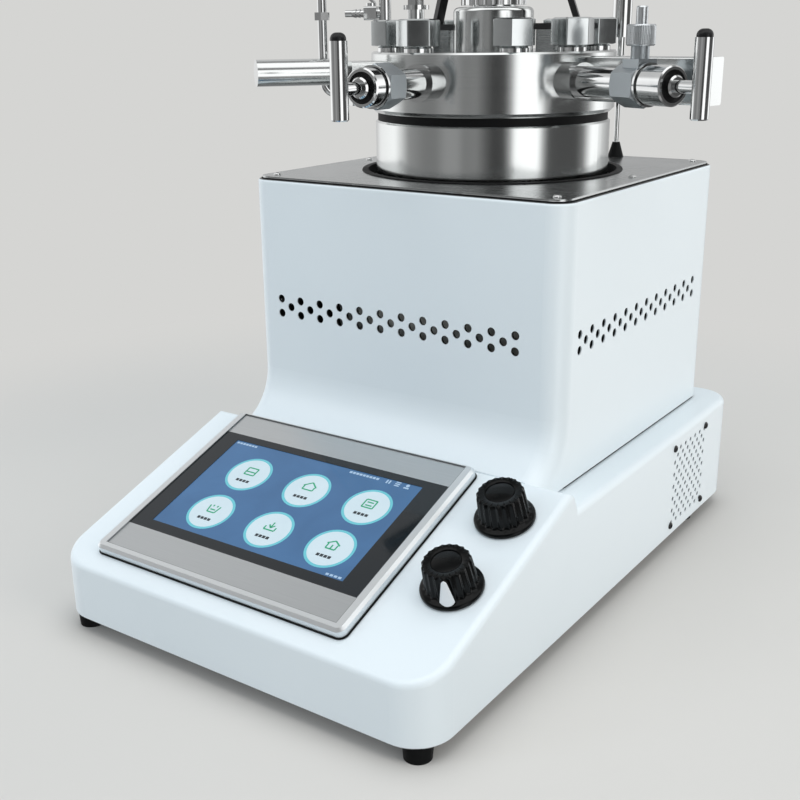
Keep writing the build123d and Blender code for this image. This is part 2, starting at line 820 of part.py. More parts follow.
sleeve_z = shell_z + sleeve_base
sleeve_outer = sleeve_bore + sleeve_wall
vessel_z = sleeve_z + sleeve_floor
with BuildPart() as heater_sleeve:
    with BuildSketch(axis.offset(sleeve_z)):
        Circle(sleeve_outer)
    extrude(amount=sleeve_top - sleeve_base)
    with BuildSketch(axis.offset(vessel_z)):
        Circle(sleeve_bore)
    extrude(amount=sleeve_top, mode=Mode.SUBTRACT)

band_radius = sleeve_outer + band_thickness
with BuildPart() as heater_band:
    with BuildSketch(axis.offset(sleeve_z + 25)):
        Circle(band_radius)
        Circle(sleeve_outer, mode=Mode.SUBTRACT)
        with Locations((0, sleeve_outer + band_thickness / 2)):
            Rectangle(4, band_thickness * 3, mode=Mode.SUBTRACT)
    extrude(amount=sleeve_top - sleeve_base - 50)

insulation_z = sleeve_z - insulation_floor
insulation_radius = cover_inner / 2 - insulation_clearance
with BuildPart() as insulation:
    with BuildSketch(axis.offset(insulation_z)):
        Circle(insulation_radius)
    extrude(amount=sleeve_top - sleeve_base + insulation_floor)
    with BuildSketch(axis.offset(sleeve_z)):
        Circle(band_radius)
    extrude(amount=sleeve_top, mode=Mode.SUBTRACT)

stand_z = insulation_z - stand_plate
with BuildPart() as furnace_stand:
    with BuildSketch(axis.offset(stand_z)):
        Circle(insulation_radius)
        Circle(30, mode=Mode.SUBTRACT)
    extrude(amount=stand_plate)
    with BuildSketch(axis.offset(shell_z)):
        with PolarLocations(stand_leg_circle, 4):
            Circle(stand_leg_radius)
    extrude(amount=stand_z - shell_z)

# ---------------------------------------------------------------- vessel and lid
stud_spots = [round_the_axis(heading, stud_circle)[:2] for heading in stud_headings]
bore = vessel_radius - vessel_wall
with BuildPart() as vessel_body:
    with BuildSketch(axis.offset(vessel_z)):
        Circle(vessel_radius)
    extrude(amount=body_top - vessel_z)
    chamfer(vessel_body.edges().sort_by(Axis.Z)[0], 4)
    chamfer(vessel_body.edges().sort_by(Axis.Z)[-1], 1.2)
    with BuildSketch(axis.offset(vessel_z + vessel_floor)):
        Circle(bore)
    extrude(amount=body_top, mode=Mode.SUBTRACT)
    with BuildSketch(Plane.XY.offset(body_top - stud_depth)):
        with Locations(*stud_spots):
            Circle(stud_radius)
    extrude(amount=stud_depth, mode=Mode.SUBTRACT)

spigot_depth = 6.0
with BuildPart() as vessel_liner:
    with BuildSketch(axis.offset(vessel_z + vessel_floor)):
        Circle(bore)
    extrude(amount=body_top - spigot_depth - 1 - vessel_z - vessel_floor)
    inner_floor = vessel_z + vessel_floor + liner_wall
    with BuildSketch(axis.offset(inner_floor)):
        Circle(bore - liner_wall)
    extrude(amount=body_top, mode=Mode.SUBTRACT)

with BuildPart() as seal_ring:
    with BuildSketch(axis.offset(body_top)):
        Circle(vessel_radius - seal_inset)
        Circle(bore, mode=Mode.SUBTRACT)
    extrude(amount=seal_gap)
    with BuildSketch(Plane.XY.offset(body_top)):
        with Locations(*stud_spots):
            Circle(stud_radius)
    extrude(amount=seal_gap, mode=Mode.SUBTRACT)

port_drill = bore - 18
with BuildPart() as lid:
    with BuildSketch(axis.offset(lid_z)):
        Circle(lid_radius)
    extrude(amount=lid_thickness)
    chamfer(lid.edges().sort_by(Axis.Z)[0], 2.6)
    chamfer(lid.edges().sort_by(Axis.Z)[-1], 1.2)
    with BuildSketch(axis.offset(lid_z - spigot_depth)):
        Circle(bore - 0.3)
    extrude(amount=spigot_depth)
    with BuildSketch(Plane.XY.offset(lid_z)):
        with Locations(*stud_spots):
            Circle(stud_radius)
    extrude(amount=lid_thickness, mode=Mode.SUBTRACT)
    with BuildSketch(axis.offset(lid_z - spigot_depth)):
        Circle(shaft_radius + running_gap)
    extrude(amount=lid_thickness + spigot_depth, mode=Mode.SUBTRACT)
    for heading in valve_heading.values():
        with BuildSketch(outward(heading, port_z, port_floor)):
            Circle(boss_radius)
        extrude(amount=lid_radius, mode=Mode.SUBTRACT)
        with BuildSketch(outward(heading, port_z, port_drill)):
            Circle(port_bore)
        extrude(amount=port_floor - port_drill, mode=Mode.SUBTRACT)
        with BuildSketch(Plane.XY.offset(lid_z - spigot_depth)):
            with Locations(round_the_axis(heading, port_drill)[:2]):
                Circle(port_bore)
        extrude(amount=port_z - lid_z + spigot_depth, mode=Mode.SUBTRACT)

stud_top = lid_top + washer_thickness + nut_height - 4
with BuildPart() as studs:
    with BuildSketch(Plane.XY.offset(body_top - stud_depth)):
        with Locations(*stud_spots):
            Circle(stud_radius)
    extrude(amount=stud_top - body_top + stud_depth)

with BuildPart() as washers:
    with BuildSketch(Plane.XY.offset(lid_top)):
        with Locations(*stud_spots):
            Circle(washer_radius)
    extrude(amount=washer_thickness)
    chamfer(washers.faces().group_by(Axis.Z)[-1].edges(), 1.2)
    with BuildSketch(Plane.XY.offset(lid_top)):
        with Locations(*stud_spots):
            Circle(stud_radius)
    extrude(amount=washer_thickness, mode=Mode.SUBTRACT)

nut_z = lid_top + washer_thickness
nut_corner = nut_flats / sqrt(3)
with BuildPart() as nuts:
    for heading, spot in zip(stud_headings, stud_spots):
        with BuildSketch(Plane.XY.offset(nut_z)):
            with Locations(spot):
                RegularPolygon(nut_flats / 2, 6, major_radius=False, rotation=nut_turn[heading])
        extrude(amount=nut_height)
    # turned 30 degree chamfer that takes the six corners off
    for spot in stud_spots:
        with BuildSketch(Plane((*spot, nut_z), (1, 0, 0), (0, -1, 0))):
            with BuildLine():
                Polyline(
                    (nut_corner - 1.4, nut_height + 0.01),
                    (nut_corner + 1, nut_height + 0.01),
                    (nut_corner + 1, nut_height - 1.4),
                    close=True,
                )
            make_face()
        revolve(axis=Axis((*spot, nut_z), (0, 0, 1)), mode=Mode.SUBTRACT)
    with BuildSketch(Plane.XY.offset(nut_z)):
        with Locations(*stud_spots):
            Circle(stud_radius)
    extrude(amount=stud_top - nut_z, mode=Mode.SUBTRACT)

# ---------------------------------------------------------------- stirrer drive
drive_top = lid_top + drive_height
dome_top = lid_top + dome_height
with BuildPart() as drive_housing:
    with BuildSketch(axis.offset(lid_top)):
        Circle(drive_radius)
    extrude(amount=drive_height)
    fillet(drive_housing.edges().sort_by(Axis.Z)[-1], 3.6)
    with BuildSketch(axis.offset(lid_top)):
        Circle(dome_radius)
    extrude(amount=dome_height)
    fillet(drive_housing.edges().sort_by(Axis.Z)[-1], 3)
    with BuildSketch(axis.offset(lid_top)):
        Circle(dome_radius - dome_wall)
    extrude(amount=dome_height - dome_wall, mode=Mode.SUBTRACT)

rotor_radius = dome_radius - dome_wall - 1
with BuildPart() as stirrer_shaft:
    with BuildSketch(axis.offset(shell_z + shaft_end)):
        Circle(shaft_radius)
    extrude(amount=lid_top - shell_z - shaft_end + 6)
    with BuildSketch(axis.offset(lid_top + 6)):
        Circle(rotor_radius)
    extrude(amount=dome_height - dome_wall - 10)
    chamfer(stirrer_shaft.edges().sort_by(Axis.Z)[-1], 1)

with BuildPart() as impeller:
    hub_z = shell_z + shaft_end
    with BuildSketch(axis.offset(hub_z)):
        Circle(shaft_radius + 4)
    extrude(amount=impeller_height)
    for k in range(4):
        turn = radians(90 * k + 20)
        spoke = Vector(cos(turn), sin(turn), 0)
        tilt = Vector(-sin(turn), cos(turn), 1).normalized()
        root = Vector(axis_x, axis_y, hub_z + impeller_height / 2) + spoke * (shaft_radius + 3)
        with BuildSketch(Plane(root, x_dir=tilt, z_dir=spoke)):
            Rectangle(impeller_height, 2)
        extrude(amount=impeller_radius - shaft_radius - 3)
    with BuildSketch(axis.offset(hub_z)):
        Circle(shaft_radius)
    extrude(amount=impeller_height, mode=Mode.SUBTRACT)

flange_z = lid_top + bracket_flange_rise
cup_z = drive_top + 1
drive_shaft_radius = 4.0
with BuildPart() as magnet_cup:
    with BuildSketch(axis.offset(cup_z)):
        Circle(cup_radius)
        with PolarLocations(cup_radius + 0.5, cup_flutes):
            Circle(1.5, mode=Mode.SUBTRACT)
    extrude(amount=cup_height)
    with BuildSketch(axis.offset(cup_z)):
        Circle(dome_radius + cup_gap)
    extrude(amount=dome_top + 1 - cup_z, mode=Mode.SUBTRACT)
    with BuildSketch(axis.offset(cup_z + cup_height)):
        Circle(drive_shaft_radius)
    extrude(amount=flange_z + bracket_plate + 18 - cup_z - cup_height)

with BuildPart() as motor:
    with BuildSketch(axis.offset(flange_z + bracket_plate)):
        Circle(motor_radius)
    extrude(amount=motor_height)
    fillet(motor.edges().sort_by(Axis.Z)[-1], 3)
    with BuildSketch(axis.offset(flange_z)):
        Circle(drive_shaft_radius + 4)
    extrude(amount=bracket_plate)
    with BuildSketch(axis.offset(flange_z)):
        Circle(drive_shaft_radius + running_gap)
    extrude(amount=bracket_plate + 20, mode=Mode.SUBTRACT)

post_spots = [(i * bracket_post_x, bracket_post_y) for i in (-1, 1)]
with BuildPart() as bracket_posts:
    with BuildSketch(axis.offset(lid_top)):
        with Locations(*post_spots):
            Rectangle(bracket_post_size, bracket_post_size)
    extrude(amount=bracket_post_height)
    chamfer(bracket_posts.edges().filter_by(Axis.Z), 1)

yoke_z = lid_top + bracket_post_height
yoke_rear = drive_radius + 8
with BuildPart() as motor_bracket:
    with BuildSketch(axis.offset(yoke_z)):
        with Locations((0, (yoke_rear - 2.5) / 2)):
            Rectangle(2 * yoke_rear, yoke_rear + 2.5)
            fillet(vertices().group_by(Axis.Y)[-1], 12)
        with Locations((0, 8)):
            Rectangle(2 * (bracket_leg_x + 4.5), 21)
        Circle(drive_radius + 1.5, mode=Mode.SUBTRACT)
        with Locations((0, -drive_radius / 2)):
            Rectangle(2 * drive_radius + 3, drive_radius, mode=Mode.SUBTRACT)
    extrude(amount=bracket_plate)
    for i in (-1, 1):
        low = Vector(axis_x + i * bracket_leg_x, axis_y + bracket_leg_y, yoke_z + bracket_plate / 2)
        high = Vector(axis_x + i * bracket_top_x, axis_y + bracket_top_y, flange_z + bracket_plate / 2)
        run = high - low
        across = Vector(0, 0, 1).cross(run)
        with BuildSketch(Plane(low, x_dir=across.cross(run), z_dir=run)):
            Rectangle(bracket_leg_thickness, bracket_leg_width)
        extrude(amount=run.length)
    with BuildSketch(axis.offset(flange_z)):
        Circle(bracket_flange_radius)
        Circle(drive_shaft_radius + 4, mode=Mode.SUBTRACT)
    extrude(amount=bracket_plate)
    # trim the leg ends flush with the two plates
    with BuildSketch(axis.offset(flange_z + bracket_plate)):
        Circle(2 * bracket_flange_radius)
    extrude(amount=10, mode=Mode.SUBTRACT)
    with BuildSketch(axis.offset(yoke_z)):
        Circle(2 * bracket_flange_radius)
    extrude(amount=-10, mode=Mode.SUBTRACT)

# ---------------------------------------------------------------- side ports and needle valves
with BuildPart() as port_tubes:
    for name, heading in valve_heading.items():
        with BuildSketch(outward(heading, port_z, port_floor)):
            Circle(boss_radius)
        extrude(amount=boss_end - port_floor)
        with BuildSketch(outward(heading, port_z, boss_end)):
            Circle(tube_radius)
        extrude(amount=body_start[name] - boss_end)
        with BuildSketch(outward(heading, port_z, port_floor)):
            Circle(port_bore)
        extrude(amount=body_start[name] - port_floor, mode=Mode.SUBTRACT)


def valve_body(name):
    """Hexagonal body with turned ends, drilled for the gas and for the spindle."""
    start = outward(valve_heading[name], port_z, body_start[name])
    length = body_length[name]
    corner = body_flats / sqrt(3)
    with BuildPart() as piece:
        with BuildSketch(start):
            RegularPolygon(body_flats / 2, 6, major_radius=False, rotation=30)
        extrude(amount=length)
        with BuildSketch(start.offset(length / 2)):
            Circle(corner)
        extrude(amount=length / 2, both=True, mode=Mode.INTERSECT)
        with BuildSketch(Plane(start.origin, start.z_dir, start.x_dir)):
            for end, way in ((0, 1), (length, -1)):
                with BuildLine():
                    Polyline(
                        (end - way, corner + 1),
                        (end - way, corner - 2),
                        (end, corner - 2),
                        (end + 2 * way, corner + 1),
                        close=True,
                    )
                make_face()
        revolve(axis=Axis(start.origin, start.z_dir), mode=Mode.SUBTRACT)
        with BuildSketch(start):
            Circle(port_bore)
        extrude(amount=length, mode=Mode.SUBTRACT)
        with BuildSketch(start.offset(length)):
            Circle(spindle_stem_radius + running_gap)
        extrude(amount=-needle_depth - 1, mode=Mode.SUBTRACT)
    return piece


def bonnet_section(name):
    """Plane of the bonnet's profile: local X outwards along the port, local Y up."""
    heading = radians(valve_heading[name])
    return Plane((axis_x, axis_y, port_z), (cos(heading), sin(heading), 0), (sin(heading), -cos(heading), 0))


bonnet_start = {name: body_start[name] + body_length[name] for name in valve_heading}


def valve_bonnet(name):
    """Turned bonnet with a collar between two grooves, a packing groove and a raised gland."""
    section = bonnet_section(name)
    fit = spindle_stem_radius + running_gap
    collar_start = bonnet_start[name] + groove_length
    collar_end = collar_start + collar_length
    barrel_start = collar_end + groove_length
    end = nose_end[name]
    with BuildPart() as piece:
        with BuildSketch(section):
            with BuildLine():
                Polyline(
                    (bonnet_start[name], fit),
                    (bonnet_start[name], groove_radius),
                    (collar_start, groove_radius),
                    (collar_start, collar_radius),
                    (collar_end, collar_radius),
                    (collar_end, groove_radius),
                    (barrel_start, groove_radius),
                    (barrel_start, bonnet_radius),
                    (end - 0.8, bonnet_radius),
                    (end, bonnet_radius - 0.8),
                    (end, packing_radius),
                    (end - packing_depth, packing_radius),
                    (end - packing_depth, gland_radius),
                    (end + gland_rise - 1, gland_radius),
                    (end + gland_rise, gland_radius - 1),
                    (end + gland_rise, fit),
                    close=True,
                )
            make_face()
        revolve(axis=Axis(section.origin, section.x_dir))
    return piece


valve_bodies = {"front": valve_body("front")}
bonnets = {name: valve_bonnet(name) for name in valve_heading}
side_blank = valve_body("side")
sample_x, sample_y, _ = round_the_axis(valve_heading["side"], sample_at)
sample_top = port_z + sample_pad_rise + sample_neck_height
sample_bore_floor = port_z + spindle_stem_radius + 4
with BuildPart() as side_valve_body:
    add(side_blank.part)
    # machined pad and neck that carry the sampling valve
    pad_length = bonnet_start["side"] - sample_pad_start
    with BuildSketch(outward(valve_heading["side"], port_z + sample_pad_rise / 2 + 3, sample_pad_start)):
        Rectangle(sample_pad_width, sample_pad_rise - 6)
    extrude(amount=pad_length)
    with BuildSketch(Plane.XY.offset(port_z + sample_pad_rise)):
        with Locations((sample_x, sample_y)):
            Circle(sample_neck_radius)
    extrude(amount=sample_neck_height)
    with BuildSketch(Plane.XY.offset(sample_bore_floor)):
        with Locations((sample_x, sample_y)):
            Circle(sample_stem_radius + running_gap)
    extrude(amount=sample_top - sample_bore_floor, mode=Mode.SUBTRACT)
valve_bodies["side"] = side_valve_body

with BuildPart() as packing_rings:
    for name in valve_heading:
        with BuildSketch(outward(valve_heading[name], port_z, nose_end[name] - packing_depth)):
            Circle(packing_radius)
            Circle(gland_radius, mode=Mode.SUBTRACT)
        extrude(amount=packing_depth - packing_recess)

valve_spindles = {}
tee_bars = {}
bar_caps = {}
for name, heading in valve_heading.items():
    stem_start = bonnet_start[name] - needle_depth
    seat = bar_radius_at[name] - 3.2
    with BuildPart() as piece:
        with BuildSketch(outward(heading, port_z, stem_start)):
            Circle(spindle_stem_radius)
        extrude(amount=seat - stem_start)
        chamfer(piece.edges().sort_by(lambda e: e.center().dot(outward(heading, 0).z_dir))[0], 2.4)
        with BuildSketch(outward(heading, port_z, seat)):
            Circle(tenon_radius)
        extrude(amount=tenon_length)
    valve_spindles[name] = piece
    bar_x, bar_y, _ = round_the_axis(heading, bar_radius_at[name])
    bar_z = port_z + bar_lift - bar_length / 2
    with BuildPart() as piece:
        with BuildSketch(Plane((bar_x, bar_y, bar_z))):
            Circle(bar_radius)
        extrude(amount=bar_length)
        chamfer(piece.edges().sort_by(Axis.Z)[0], 0.8)
        with BuildSketch(outward(heading, port_z, seat)):
            Circle(spindle_stem_radius)
        extrude(amount=-2 * bar_radius, mode=Mode.SUBTRACT)
        with BuildSketch(outward(heading, port_z, seat)):
            Circle(tenon_radius)
        extrude(amount=tenon_length, mode=Mode.SUBTRACT)
    tee_bars[name] = piece
    with BuildPart() as piece:
        with BuildSketch(Plane((bar_x, bar_y, bar_z + bar_length))):
            Circle(cap_radius)
        extrude(amount=cap_height)
        fillet(piece.edges().sort_by(Axis.Z)[-1], cap_height * 0.8)
    bar_caps[name] = piece

with BuildPart() as sample_knob:
    with BuildSketch(Plane((sample_x, sample_y, sample_top + knob_gap))):
        Circle(sample_knob_radius)
        with PolarLocations(sample_knob_radius + 0.25, sample_knob_flutes):
            Circle(0.7, mode=Mode.SUBTRACT)
    extrude(amount=sample_knob_height)
    with BuildSketch(Plane((sample_x, sample_y, sample_bore_floor + 1))):
        Circle(sample_stem_radius)
    extrude(amount=sample_top + sample_knob_height + sample_stem_height - sample_bore_floor - 1)
    chamfer(sample_knob.edges().sort_by(Axis.Z)[-1], 0.6)

# ---------------------------------------------------------------- lifting lug, bar and arm
lug_z = lid_top - lug_top_drop - lug_height / 2
arm_z = lid_top - arm_top_drop - arm_height / 2
with BuildPart() as lifting_gear:
    with BuildSketch(outward(lug_heading, lug_z, lid_radius - 8)):
        RectangleRounded(lug_width, lug_height, 2)
    extrude(amount=lug_end - lid_radius + 8)
    with BuildSketch(outward(arm_heading, arm_z, lid_radius - 8)):
        RectangleRounded(arm_width, arm_height, 1.5)
    extrude(amount=arm_end - lid_radius + 8)
    with BuildSketch(axis.offset(lid_z)):
        Circle(lid_radius)
    extrude(amount=lid_thickness, mode=Mode.SUBTRACT)
    with BuildSketch(outward(lug_heading, lid_top - lift_bar_drop, lug_end)):
        Circle(lift_bar_radius)
    extrude(amount=lift_bar_end - lug_end)

# ---------------------------------------------------------------- gas riser
riser_z = lid_top - riser_drop
riser_face = outward(lug_heading, riser_z, lug_end)
start = riser_face.from_local_coords(Vector(-riser_side, 0, 0))
turn_point = riser_face.from_local_coords(Vector(-riser_side, 0, riser_reach))
riser_end = Vector(turn_point.X, turn_point.Y, shell_z + riser_top)
with BuildPart() as gas_riser:
    with BuildLine() as route:
        FilletPolyline(start, turn_point, riser_end, radius=riser_bend)
    with BuildSketch(Plane(start, riser_face.x_dir, riser_face.z_dir)):
        Circle(riser_radius)
    sweep(path=route.wires()[0])
    with BuildSketch(Plane((turn_point.X, turn_point.Y, shell_z + coupling_height - 2.5))):
        RegularPolygon(coupling_radius, 6, major_radius=False)
    extrude(amount=5)
    with BuildSketch(Plane((turn_point.X, turn_point.Y, shell_z + riser_top - 8))):
        Circle(riser_radius + 2)
    extrude(amount=8)
    with BuildSketch(Plane((turn_point.X, turn_point.Y, shell_z + riser_top))):
        Circle(riser_radius - 1.2)
    extrude(amount=-30, mode=Mode.SUBTRACT)

# ---------------------------------------------------------------- furnace probe
probe_base = Plane((*probe_point, plate_top))
with BuildPart() as probe_boot:
    with BuildSketch(probe_base):
        Circle(probe_boot_radius)
    lean = degrees(atan2(probe_boot_radius - probe_radius - 0.8, probe_boot_height))
    extrude(amount=probe_boot_height, taper=lean)
    with BuildSketch(probe_base):
        Circle(probe_radius)
    extrude(amount=probe_boot_height, mode=Mode.SUBTRACT)

with BuildPart() as furnace_probe:
    low = Plane((*probe_point, cover_z - 40))
    with BuildSketch(low):
        Circle(probe_radius)
    extrude(amount=shell_z + probe_sleeve_start - cover_z + 40)
    with BuildSketch(Plane((*probe_point, shell_z + probe_sleeve_start))):
        Circle(probe_sleeve_radius)
    extrude(amount=probe_head_start - probe_sleeve_start)
    with BuildSketch(Plane((*probe_point, shell_z + probe_head_start))):
        Circle(probe_head_radius)
    extrude(amount=probe_head_end - probe_head_start)
    chamfer(furnace_probe.edges().sort_by(Axis.Z)[-1], 1.5)

# ---------------------------------------------------------------- vent valve and relief fitting
vent_x, vent_y, _ = round_the_axis(vent_heading, vent_circle)
vent_z_port = lid_top + vent_port_rise
vent_way = Vector(cos(radians(vent_barb_heading)), sin(radians(vent_barb_heading)), 0)
vent_out = Plane((vent_x, vent_y, vent_z_port), (-vent_way.Y, vent_way.X, 0), vent_way)
vent_block = (vent_body_start + vent_body_end) / 2
block_half = 4.6
with BuildPart() as vent_valve:
    with BuildSketch(Plane((vent_x, vent_y, lid_top))):
        Circle(vent_riser_radius)
    extrude(amount=vent_riser_height)
    with BuildSketch(Plane((vent_x, vent_y, lid_top))):
        Circle(vent_riser_radius + 1)
    extrude(amount=5)
    with BuildSketch(vent_out):
        Circle(3.4)
    extrude(amount=vent_body_end)
    with BuildSketch(vent_out.offset(vent_block)):
        RectangleRounded(2 * block_half, 2 * block_half, 1.2)
    extrude(amount=4.6, both=True)
    for step in range(3):
        with BuildSketch(vent_out.offset(vent_body_end + step * vent_barb_step)):
            Circle(3.1)
        extrude(amount=vent_barb_step, taper=13)
    with BuildSketch(vent_out.offset(vent_body_end)):
        Circle(2.4)
    extrude(amount=vent_barb_end - vent_body_end)
    with BuildSketch(vent_out):
        Circle(1.4)
    extrude(amount=vent_barb_end, mode=Mode.SUBTRACT)

lever_root = vent_out.from_local_coords(Vector(0, block_half, vent_block))
with BuildPart() as vent_lever:
    top = Plane(lever_root, vent_way, (0, 0, 1))
    with BuildSketch(top.offset(0.3)):
        Circle(3.6)
    extrude(amount=2)
    with BuildSketch(Plane(lever_root, vent_way, (vent_way.Y, -vent_way.X, 0))):
        with BuildLine():
            outer = ThreePointArc((-3, 2.2), (1, 6.4), (8.5, 7.6))
            inner_arc = ThreePointArc((-1, 2.2), (2, 4.9), (8.5, 7.6 - vent_lever_thickness))
            Line(outer @ 0, inner_arc @ 0)
            Line(outer @ 1, inner_arc @ 1)
        make_face()
    extrude(amount=2.6, both=True)

with BuildPart() as relief_fitting:
    spot = Plane(round_the_axis(relief_heading, relief_circle, lid_top))
    with BuildSketch(spot):
        Circle(relief_radius)
    extrude(amount=relief_height)
    with BuildSketch(spot.offset(relief_height)):
        Circle(relief_flange_radius)
    extrude(amount=relief_flange_thickness)
    with BuildSketch(spot.offset(relief_height + relief_flange_thickness)):
        RegularPolygon(5.5, 6, major_radius=False)
    extrude(amount=5)

# ---------------------------------------------------------------- pieces
pieces = {
    "housing": housing,
    "floor_plate": floor_plate,
    "feet": feet,
    "fan_frame": fan_frame,
    "fan_rotor": fan_rotor,
    "hmi_gasket": hmi_gasket,
    "hmi_bezel": hmi_bezel,
    "hmi_glass": hmi_glass,
    "hmi_display": hmi_display,
    "speed_knob": knobs["speed"],
    "heat_knob": knobs["heat"],
    "speed_spindle": spindles["speed"],
    "heat_spindle": spindles["heat"],
    "dial_controls": dial_controls,
    "control_board": control_board,
    "power_supply": power_supply,
    "power_inlet": power_inlet,
    "switch_rocker": switch_rocker,
    "top_seal": top_seal,
    "top_plate": top_plate,
    "panel_screws": panel_screws,
    "well_ring": well_ring,
    "heater_sleeve": heater_sleeve,
    "heater_band": heater_band,
    "insulation": insulation,
    "furnace_stand": furnace_stand,
    "vessel_body": vessel_body,
    "vessel_liner": vessel_liner,
    "seal_ring": seal_ring,
    "lid": lid,
    "studs": studs,
    "washers": washers,
    "nuts": nuts,
    "drive_housing": drive_housing,
    "stirrer_shaft": stirrer_shaft,
    "impeller": impeller,
    "magnet_cup": magnet_cup,
    "motor": motor,
    "bracket_posts": bracket_posts,
    "motor_bracket": motor_bracket,
    "port_tubes": port_tubes,
    "front_valve_body": valve_bodies["front"],
    "side_valve_body": valve_bodies["side"],
    "front_bonnet": bonnets["front"],
    "side_bonnet": bonnets["side"],
    "packing_rings": packing_rings,
    "front_spindle": valve_spindles["front"],
    "side_spindle": valve_spindles["side"],
    "front_bar": tee_bars["front"],
    "side_bar": tee_bars["side"],
    "front_bar_cap": bar_caps["front"],
    "side_bar_cap": bar_caps["side"],
    "sample_knob": sample_knob,
    "lifting_gear": lifting_gear,
    "gas_riser": gas_riser,
    "probe_boot": probe_boot,
    "furnace_probe": furnace_probe,
    "vent_valve": vent_valve,
    "vent_lever": vent_lever,
    "relief_fitting": relief_fitting,
}
os.makedirs("parts", exist_ok=True)
for node, piece in pieces.items():
    piece.part.label = node
    export_step(piece.part, f"parts/{node}.step")
print(len(pieces), "pieces")
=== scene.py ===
# %% [markdown]
# # A bench hydrothermal reactor, dressed for its portrait
#
# The solids of the reactor arrive as a fixed frame: every metal block, tube and knob already
# has its place.  What they lack is what the eye reads as real: the orange peel of a powder
# coat, the fine rings that a lathe leaves on stainless steel, a lit touch panel and flutes one
# can feel.  This lesson adds those one piece at a time, in metres, in the frame's own axes.

# %% Load the frame
import json
import math

import bmesh
import bpy
import numpy as np
from mathutils import Matrix, Vector


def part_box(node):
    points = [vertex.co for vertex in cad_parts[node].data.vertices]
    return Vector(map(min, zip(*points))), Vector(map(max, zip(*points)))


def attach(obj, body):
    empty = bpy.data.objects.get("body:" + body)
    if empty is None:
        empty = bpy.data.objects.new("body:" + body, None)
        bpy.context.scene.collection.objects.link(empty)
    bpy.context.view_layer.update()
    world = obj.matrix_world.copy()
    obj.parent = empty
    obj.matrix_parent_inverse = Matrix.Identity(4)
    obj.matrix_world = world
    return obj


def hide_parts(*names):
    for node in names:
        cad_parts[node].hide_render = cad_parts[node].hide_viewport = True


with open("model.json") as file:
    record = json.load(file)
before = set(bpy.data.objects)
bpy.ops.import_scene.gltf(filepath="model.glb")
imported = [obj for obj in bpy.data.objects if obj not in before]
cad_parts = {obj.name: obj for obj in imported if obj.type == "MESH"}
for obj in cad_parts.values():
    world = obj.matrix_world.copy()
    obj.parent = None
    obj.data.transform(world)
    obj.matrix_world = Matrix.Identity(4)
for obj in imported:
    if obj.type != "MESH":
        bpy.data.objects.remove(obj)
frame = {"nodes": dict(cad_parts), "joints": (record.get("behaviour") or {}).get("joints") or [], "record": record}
nodes = frame["nodes"]
joints = {j["name"]: j for j in frame["joints"]}
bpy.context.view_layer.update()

# %% [markdown]
# ## Places
#
# The control desk is a plane that climbs away from the operator.  Everything on it, the panel,
# the dials and the lit screen, is easiest to describe in the desk's own directions: *across*,
# *up the slope* and *out of the desk*.  The hinge of the speed dial already stands square on the
# desk, so its axis gives the outward direction.

# %% The desk's directions and the vessel's axis
MM = 0.001
KNOB_U, SPEED_S, HEAT_S = 115.5, 70.5, 131.5
dial = joints["speed_knob_turn"]
OUT = np.array(dial["axis"], float)
ACROSS = np.array([1.0, 0.0, 0.0])
UPSLOPE = np.cross(OUT, ACROSS)
SLOPE = math.atan2(UPSLOPE[2], UPSLOPE[1])
DESK = np.array(dial["pos_m"], float) - KNOB_U * MM * ACROSS - SPEED_S * MM * UPSLOPE
AXIS = np.array(joints["stirrer_spin"]["pos_m"], float)
print("desk slopes", round(math.degrees(SLOPE), 1), "degrees")


def on_desk(across, upslope, out):
    """Points in metres from millimetres along the desk's three directions: a weighted sum."""
    parts = [np.multiply.outer(np.asarray(v, float) * MM, d)
             for v, d in ((across, ACROSS), (upslope, UPSLOPE), (out, OUT))]
    return DESK + sum(np.broadcast_arrays(*parts))


# %% [markdown]
# ## Surfaces from arrays
#
# A new piece is a grid of points worked out at once by numpy: rows run along the piece, columns
# run round it.  `surface` turns such a grid into faces, merges the points that meet at a seam or
# a pole, and makes the faces look outwards.

# %% Grid to mesh
def surface(name, grids, body, finish, smooth=35):
    """A mesh whose quads join (i, j) with (i+1, j+1) of a grid, the last column with the first."""
    points, quads, count = [], [], 0
    for grid in grids:
        rows, columns = grid.shape[:2]
        i, j = np.meshgrid(np.arange(rows - 1), np.arange(columns), indexing="ij")
        k = (j + 1) % columns
        near, far = i * columns, (i + 1) * columns
        quads.append(np.stack([near + j, near + k, far + k, far + j], -1).reshape(-1, 4) + count)
        points.append(grid.reshape(-1, 3))
        count += rows * columns
    mesh = bpy.data.meshes.new(name)
    mesh.from_pydata(np.concatenate(points).tolist(), [], np.concatenate(quads).tolist())
    shape = bmesh.new()
    shape.from_mesh(mesh)
    bmesh.ops.remove_doubles(shape, verts=shape.verts, dist=1e-6)
    bmesh.ops.recalc_face_normals(shape, faces=shape.faces)
    shape.to_mesh(mesh)
    shape.free()
    mesh.shade_smooth()
    mesh.set_sharp_from_angle(angle=math.radians(smooth))
    piece = bpy.data.objects.new(name, mesh)
    bpy.context.scene.collection.objects.link(piece)
    mesh.materials.append(finishes[finish])
    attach(piece, body)
    return piece


def lathe(profile, origin, axis, columns=64, wobble=1.0):
    """Points at radius r and height h of the profile, turned round an axis; wobble scales r."""
    axis = np.array(axis, float) / np.linalg.norm(axis)
    first = np.cross(axis, [0.3, 0.5, 0.81])
    first /= np.linalg.norm(first)
    second = np.cross(axis, first)
    turn = np.linspace(0, 2 * math.pi, columns, endpoint=False)
    r, h = np.array(profile, float).T * MM
    radius = r[:, None] * np.ones(columns) * wobble
    round_it = np.cos(turn)[:, None] * first + np.sin(turn)[:, None] * second
    return np.array(origin) + radius[..., None] * round_it + h[:, None, None] * axis


